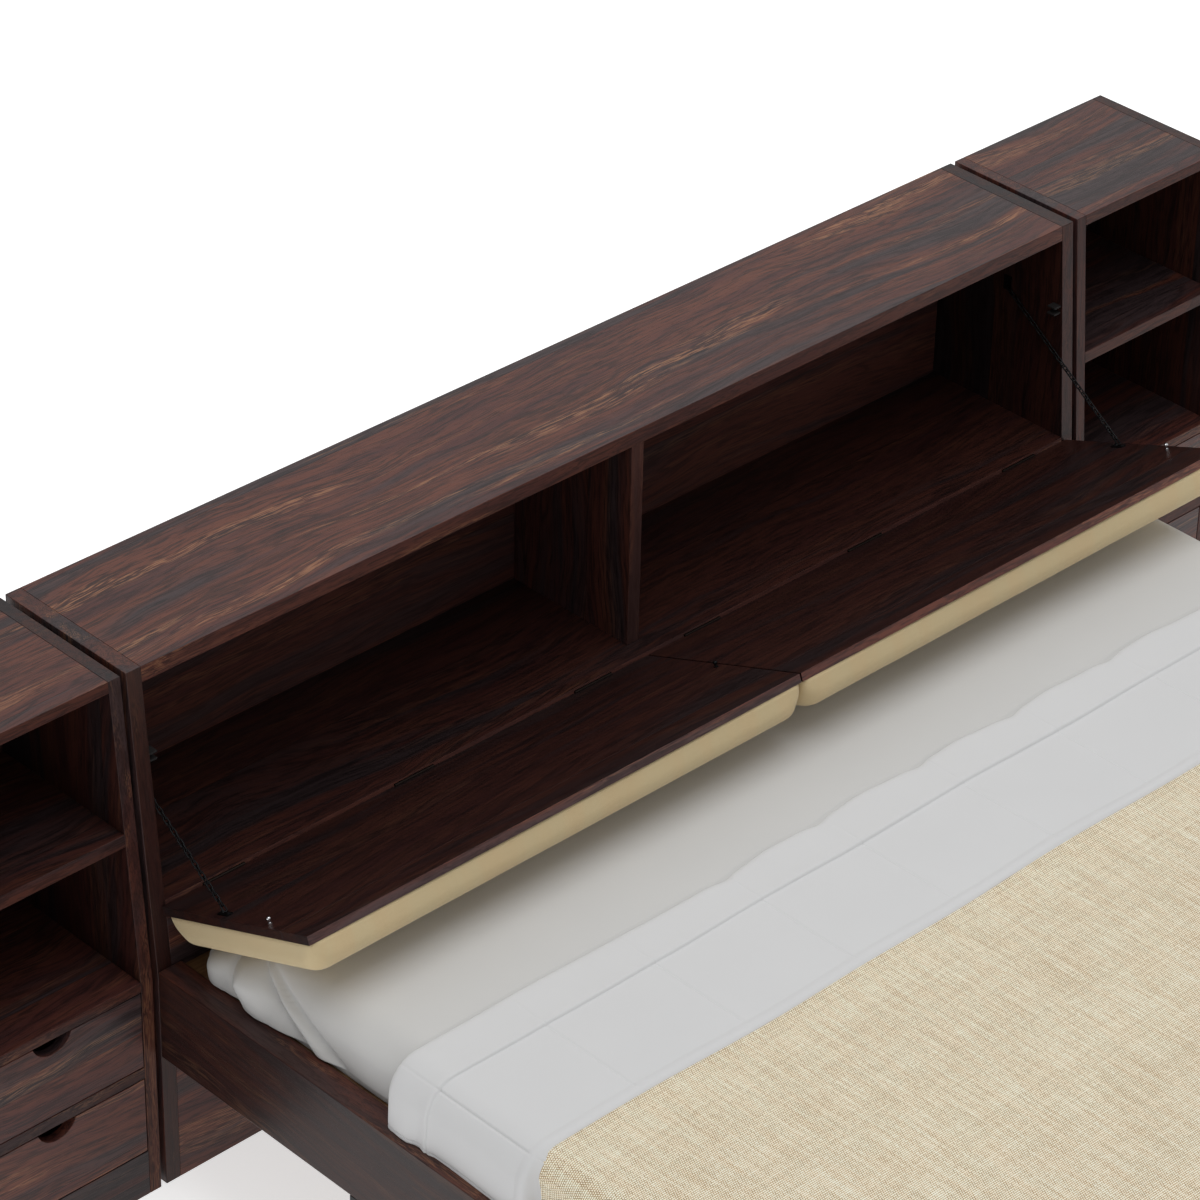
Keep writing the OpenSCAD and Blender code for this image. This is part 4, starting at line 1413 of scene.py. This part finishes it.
@dataclass(frozen=True)
class TurnedSheet:
    """The top sheet's turned-down band, over the bed and down to both rails.

    Its section along the bed starts in a soft roll, runs as a raised cuff to a stepped fold,
    lies flat to a low ridge, and goes on under the blanket. Pressed creases cross it.
    """

    half_x: float = 0.951
    edge_r: float = 0.044
    hem_z: float = 0.3925
    low: float = 0.4892
    roll_y: float = -0.475
    cuff_y: float = -0.553
    ridge_y: float = -0.739
    hem_w: float = 0.0075
    creases: tuple[float, ...] = (-0.934, -0.740, -0.533, -0.318, -0.112, 0.106, 0.312, 0.532,
                                  0.740, 0.934)
    nicks: tuple[float, ...] = (-0.305, -0.109, 0.106, 0.308, 0.530)
    thick: float = 0.0012

    def roll_line(self, x: Array) -> Array:
        """Where the roll's edge lies at x: slow waves, small nicks at creases and an arch by each."""
        slow = 0.0035 * np.sin(x * 4.1 + 0.6) + 0.0022 * np.sin(x * 9.7 + 2.0)
        nick = sum(bump(x, c - 0.02, 0.020) for c in self.nicks)
        arch = sum(bump(x, c + 0.075, 0.045) for c in self.nicks)
        return self.roll_y + slow - 0.0060 * nick + 0.0050 * arch

    @staticmethod
    def _section() -> tuple[Array, ...]:
        """The band's section along the bed, in four runs.

        Returns:
            The roll's nose, the cuff up to the stepped fold, the plain stretch and the ridge that
            goes under the blanket. Each point is a distance towards the foot from the run's own
            line, and a height over the low face.
        """
        nose = np.array([(0.030, 0.0006), (0.020, 0.0006), (0.011, 0.0008), (0.005, 0.0013),
                         (0.0016, 0.0026), (0.0, 0.0045), (0.0009, 0.0064), (0.0040, 0.0081),
                         (0.0095, 0.0090), (0.018, 0.0089)])
        cuff = np.array([(-0.048, 0.0084), (-0.034, 0.0079), (-0.022, 0.0077), (-0.014, 0.0081),
                         (-0.008, 0.0087), (-0.004, 0.0086), (-0.0015, 0.0076), (-0.0003, 0.0060),
                         (0.0002, 0.0046), (0.0011, 0.0041), (0.004, 0.0044), (0.014, 0.0047),
                         (0.03, 0.0047)])
        plain = np.stack([np.linspace(0.045, 0.156, 15), np.full(15, 0.0047)], -1)
        ridge = np.array([(-0.015, 0.0047), (-0.0115, 0.0046), (-0.009, 0.0050), (-0.006, 0.0064),
                          (-0.002, 0.0080), (0.002, 0.0087), (0.006, 0.0086), (0.010, 0.0075),
                          (0.013, 0.0058), (0.016, 0.0040), (0.020, 0.0027), (0.028, 0.0020),
                          (0.044, 0.0018), (0.060, 0.0016)])
        return nose, cuff, plain, ridge

    def _stations(self, flat: float, quarter: float, whole: float) -> Array:
        """Lengths across the sheet that get points: even steps, and close ones by creases and hems.

        Args:
            flat: Half the flat part's width.
            quarter: Length round the edge.
            whole: Half the sheet's width.

        Returns:
            The lengths from the middle, in order.
        """
        s = spread((-whole, -flat - quarter, 14), (-flat - quarter, -flat, 18), (-flat, flat, 190),
                   (flat, flat + quarter, 18), (flat + quarter, whole, 14))
        lines = np.array(self.creases + (-whole + self.hem_w, whole - self.hem_w))
        near = np.array([0.0, 0.0009, 0.0018, 0.0030, 0.0044, 0.0062])
        fine = np.ravel(lines[:, None] + np.concatenate([-near[:0:-1], near]))
        clear = 0.0085
        return np.unique(np.concatenate([s[np.abs(s[:, None] - lines).min(1) > clear], fine]))

    def _relief(self, s: Array, x: Array, y: Array, tall: Array, whole: float) -> Array:
        """Heights with the sheet's small relief over them.

        Pressed creases and the hem's seam are narrow dips, with a low lift beside each crease.
        Slow swells cross the sheet, and puckers run along the cuff and the ridge.

        Args:
            s: Lengths across the sheet, one a row.
            x: Places across the bed, one a row.
            y: Distances from the headboard's front.
            tall: Heights of the plain section over the low face.
            whole: Half the sheet's width.

        Returns:
            The new heights.
        """
        open_ = ease(tall, 0.002, 0.004)
        press = [1.7 if abs(c) > 0.9 else 0.8 for c in self.creases]
        crease = sum(k * bump(s, c, 0.0019) for k, c in zip(press, self.creases))
        lift = sum(bump(s, c + 0.006, 0.018) for c in self.creases)
        swell = rolling(x, y, 31, [(0.42, 0.0012, 1.5), (0.17, 0.0006, 1.5)])
        pucker = rolling(x, y * 0.0, 33, [(0.085, 0.0013, 0.1), (0.04, 0.0006, 0.1)])
        on_cuff = ease(y, self.cuff_y, self.cuff_y + 0.004)
        by_ridge = bump(y, self.ridge_y - 0.004, 0.012)
        hem_seam = bump(np.abs(s), whole - self.hem_w, 0.0011)
        return tall + open_ * (swell - 0.0014 * crease * (1 - 0.7 * on_cuff) * (1 - by_ridge)
                               + 0.0005 * lift + pucker * (0.7 * on_cuff + by_ridge) - 0.0016 * hem_seam)

    def _bulge(self, y: Array, hang: Array, outward: Array) -> Array:
        """How far the hanging sides stand out.

        Soft folds cross them, they are nipped in by the stepped fold and stand out by the roll,
        and they are tucked in where the blanket covers them.

        Args:
            y: Distances from the headboard's front.
            hang: 0 on top and 1 at the hem, one a row.
            outward: How far the face looks outwards, from -1 to 1, one a row.

        Returns:
            The distance out.
        """
        fold = rolling(y, y * 0.0, 37, [(0.120, 0.0026, 0.3), (0.055, 0.0012, 0.3)])
        scoop = 0.0045 * bump(y, self.cuff_y + 0.016, 0.011) - 0.003 * bump(y, self.cuff_y - 0.006, 0.006)
        out = hang * (fold + 0.0030 - scoop + 0.006 * bump(y, self.roll_y - 0.045, 0.030))
        tuck = ease(-y, -self.ridge_y + 0.006, -self.ridge_y + 0.024)
        return out * (1 - tuck) - 0.013 * tuck * outward**2

    def _cuff(self, x: Array) -> Array:
        """How far the stepped fold strays at x."""
        return 0.0028 * np.sin(x * 3.3 + 1.0) + 0.0012 * np.sin(x * 13.0) + 0.004 * ease(x, 0.3, 0.8)

    def build(self, cotton: bpy.types.Material) -> None:
        """Makes the band as one sheet with a hem.

        Across the bed a length s goes flat, round the edge and straight down. Along the bed a
        section gives y and height for each row, from the roll's hidden underside on. The
        heights then take the creases, slow swells, puckers and the hem's seam, and the hanging
        sides take folds and a nip at the stepped fold.

        Args:
            cotton: The sheet's material.
        """
        flat = self.half_x - self.edge_r
        quarter = self.edge_r * math.pi / 2
        drop = self.low + 0.004 - self.hem_z - self.edge_r
        whole = flat + quarter + drop
        s = self._stations(flat, quarter, whole)
        turn = np.clip((np.abs(s) - flat) / self.edge_r, 0.0, math.pi / 2)
        past = np.maximum(np.abs(s) - flat - quarter, 0.0)
        base_x = np.sign(s) * (np.minimum(np.abs(s), flat) + self.edge_r * np.sin(turn))
        base_z = -self.edge_r * (1 - np.cos(turn)) - past
        x = base_x[:, None]
        runs = self._section()
        rows = [np.broadcast_to(run[:, 0], (len(s), len(run))) for run in runs]
        step = self._cuff(x)
        wave = blanket_stray(x)
        y = np.concatenate([self.roll_line(x) - rows[0], self.cuff_y + step - rows[1],
                            self.cuff_y + step - rows[2], self.ridge_y + wave - rows[3]], 1)
        tall = np.concatenate([run[:, 1] for run in runs])[None, :]
        tall = self._relief(s[:, None], x, y, np.broadcast_to(tall, y.shape), whole)
        hang = ease(np.abs(s), flat + quarter * 0.5, whole)[:, None]
        nx, nz = (np.sign(s) * np.sin(turn))[:, None], np.cos(turn)[:, None]
        out = self._bulge(y, hang, nx)
        px = x + tall * nx + np.sign(s)[:, None] * out * (np.abs(nx) > 0.2)
        pz = self.low + base_z[:, None] + tall * nz
        hem = 0.0020 * np.sin(y * 62.0) + 0.0040 * ease(-y, 0.55, 0.56)
        pz = pz - hang * hem * 0.5
        pz = np.maximum(pz, PLAN.rail_top + 0.0012)
        points = np.stack([px, PLAN.front_y + y, pz], -1)
        steps = np.linalg.norm(np.diff(points[len(s) // 2], axis=0), axis=1)
        along = np.concatenate([[0.0], np.cumsum(steps)])
        uv = np.stack(np.broadcast_arrays(s[:, None], -along[None, :]), -1)
        mesh = mesh_of("turned_sheet", points, grid_faces(len(s), y.shape[1])[:, ::-1])
        lay_uv(mesh, uv)
        obj = add_piece("turned_down_sheet", mesh, cotton, "bed", ["top_sheet"])
        thick = obj.modifiers.new("cloth", "SOLIDIFY")
        thick.thickness, thick.offset = self.thick, -1.0
        width, length = 2 * whole, float(along[-1])
        log.info("turned-down sheet: %.3f by %.3f m flat", width, length)


@dataclass(frozen=True)
class Blanket:
    """A heavy slub blanket over the rest of the bed, down to both rails and the foot rail."""

    half_x: float = 0.942
    corner_r: float = 0.084
    edge_r: float = 0.040
    hem_z: float = 0.3935
    low: float = 0.4905
    thick: float = 0.0030
    head_y: float = -0.7535
    foot_out: float = 0.012

    def build(self, weave: bpy.types.Material) -> None:
        """Makes the blanket as a lid without its head end.

        Slow swells cross its top, its sides hang in shallow folds, and its head edge wanders.

        Args:
            weave: The blanket's material.
        """
        foot_y = PLAN.foot_y - self.foot_out
        half_y = (self.head_y - foot_y + self.corner_r) / 2
        top = self.low + self.thick + 0.0015
        lid = Lid(self.half_x, half_y, self.corner_r, self.edge_r, top - self.hem_z)
        a = spread((-2, -1, 22), (-1, 1, 130), (1, 2, 22))
        b = spread((-2, -1, 22), (-1, 0.85, 84), (0.85, 1, 16))
        points, uv = lid.surface(a, b)
        hang = ease(-points[..., 2], 0.02, top - self.hem_z)
        n = normals_of(points)
        folds = rolling(points[..., 1] + points[..., 0] * 0.3, points[..., 2], 43,
                        [(0.30, 0.0030, 0.2), (0.13, 0.0012, 0.3)])
        swell = rolling(points[..., 0], points[..., 1], 47, [(0.60, 0.0015, 1.5), (0.21, 0.0006, 1.5)])
        flat = 1 - ease(-points[..., 2], 0.002, 0.03)
        points = points + n * (hang * (folds - 0.002) + flat * swell)[..., None]
        y = foot_y + half_y + points[..., 1]
        near = ease(b[None, :], 0.90, 1.0)
        y = y + near * blanket_stray(points[..., 0])
        z = np.maximum(top + points[..., 2], PLAN.rail_top + 0.0040)
        lip = ease(b[None, :], 0.985, 1.0)
        z = z + lip * 0.0006 * (1 - hang)
        made = np.stack([points[..., 0], PLAN.front_y + y, z], -1)
        mesh = mesh_of("blanket", made, grid_faces(len(a), len(b)))
        lay_uv(mesh, uv)
        obj = add_piece("slub_blanket", mesh, weave, "bed", ["blanket"])
        body = obj.modifiers.new("cloth", "SOLIDIFY")
        body.thickness, body.offset = self.thick, -1.0
        width = 2 * (self.half_x - self.corner_r + lid.reach)
        length = 2 * half_y - 2 * self.corner_r + lid.reach
        area = width * length - 2 * lid.reach**2 * (1 - math.pi / 4)
        log.info("blanket: %.3f by %.3f m flat", width, length)


@dataclass(frozen=True)
class Bedding:
    """Mattress, turned-down sheet and blanket."""

    def build(self) -> None:
        """Makes the bedding from the mattress up."""
        Mattress().build(Cotton("fitted_cotton", (0.660, 0.656, 0.645)).material())
        TurnedSheet().build(Cotton("percale", (0.715, 0.716, 0.720), crumple=0.2).material())
        weave = SlubWeave("slub_linen", (0.970, 0.825, 0.588), (0.480, 0.335, 0.185),
                          (1.000, 0.980, 0.850), pitch=0.00177, row=0.00332, depth=0.0004, softness=0.78)
        Blanket().build(weave.material())


# ---------- studio ----------


@dataclass(frozen=True)
class Studio:
    """Pale floor, soft light and the camera. Angles are in degrees and the lens in millimetres."""

    camera_at: Point = (-4.2407, -3.3830, 4.4975)
    azimuth: float = 44.172
    elevation: float = -33.031
    roll: float = -1.192
    lens: float = 141.36
    sensor: float = 36.0
    world: float = 0.46
    floor_half: float = 30.0
    floor_points: int = 15

    def camera(self) -> None:
        """Sets the camera: heading from +y towards +x, then tilt, then a small roll."""
        az, el, roll = (math.radians(v) for v in (self.azimuth, self.elevation, self.roll))
        ahead = np.array([math.sin(az) * math.cos(el), math.cos(az) * math.cos(el), math.sin(el)])
        right = np.cross(ahead, [0.0, 0.0, 1.0])
        right /= np.linalg.norm(right)
        down = np.cross(ahead, right)
        c, s = math.cos(roll), math.sin(roll)
        x, y = c * right + s * down, -s * right + c * down
        made = Matrix([(x[k], -y[k], -ahead[k], self.camera_at[k]) for k in range(3)] + [(0, 0, 0, 1)])
        data = bpy.data.cameras.new("camera")
        data.lens, data.sensor_width, data.sensor_fit = self.lens, self.sensor, "HORIZONTAL"
        data.clip_start, data.clip_end = 0.1, 60.0
        obj = bpy.data.objects.new("camera", data)
        obj.matrix_world = made
        bpy.context.scene.collection.objects.link(obj)
        bpy.context.scene.camera = obj

    def floor(self) -> None:
        """Lays a wide white floor that glows a little, as an overlit sweep does."""
        bench = NodeBench("studio_floor")
        cloud = bench.noise(bench.object_point(), 1.3, 2.0)
        material = bench.finish(Base_Color=bench.mix(cloud, (0.86, 0.86, 0.86), (0.83, 0.83, 0.83)),
                                Roughness=0.7, Specular_IOR_Level=0.2,
                                Emission_Color=(1.0, 1.0, 1.0), Emission_Strength=0.60)
        n = self.floor_points
        side = np.linspace(-self.floor_half, self.floor_half, n)
        x, y = np.meshgrid(side, side, indexing="ij")
        mesh = mesh_of("floor", np.stack([x, y, np.zeros_like(x)], -1), grid_faces(n, n))
        mesh.materials.append(material)
        obj = bpy.data.objects.new("studio_floor", mesh)
        bpy.context.scene.collection.objects.link(obj)

    def _lamp(self, name: str, at: Point, aim: Point, size: tuple[float, float], glow: float) -> None:
        """Hangs a soft box.

        Args:
            name: The lamp's name.
            at: Its place.
            aim: The place that it faces.
            size: Its width and height.
            glow: Its glow, the same all over and whatever its size.
        """
        data = bpy.data.lights.new(name, "AREA")
        data.shape, data.size, data.size_y = "RECTANGLE", *size
        data.energy = glow * math.pi * size[0] * size[1]
        obj = bpy.data.objects.new(name, data)
        away = np.array(at) - np.array(aim)
        obj.matrix_world = Matrix(frame_at(at, away, np.cross((0.0, 0.0, 1.0), away)).tolist())
        bpy.context.scene.collection.objects.link(obj)

    def light(self) -> None:
        """Sets dim white surroundings, a soft box behind the headboard and one high over the bed."""
        scene = bpy.context.scene
        scene.world = bpy.data.worlds.new("studio")
        scene.world.use_nodes = True
        back = scene.world.node_tree.nodes["Background"]
        back.inputs["Color"].default_value = (1.0, 1.0, 1.0, 1.0)
        back.inputs["Strength"].default_value = self.world
        self._lamp("rear_box", (3.2, 4.25, 3.85), (0.0, 0.95, 0.85), (6.5, 4.0), 0.5)
        self._lamp("high_box", (-0.3, 0.1, 5.2), (0.0, 0.0, 0.5), (4.5, 3.4), 2.20)
        scene.view_settings.view_transform = "Standard"
        scene.view_settings.look = "None"

    def build(self) -> None:
        """Sets the whole studio."""
        self.camera()
        self.floor()
        self.light()


def main() -> None:
    """Builds the studio, then the bed from the headboard to the bedding."""
    logging.basicConfig(level=logging.INFO, format="%(message)s")
    Studio().build()
    Headboard().build()
    Flaps().build()
    for side in Side:
        Nightstand(side).build()
    BedFrame().build()
    Bedding().build()


if __name__ == "__main__":
    main()
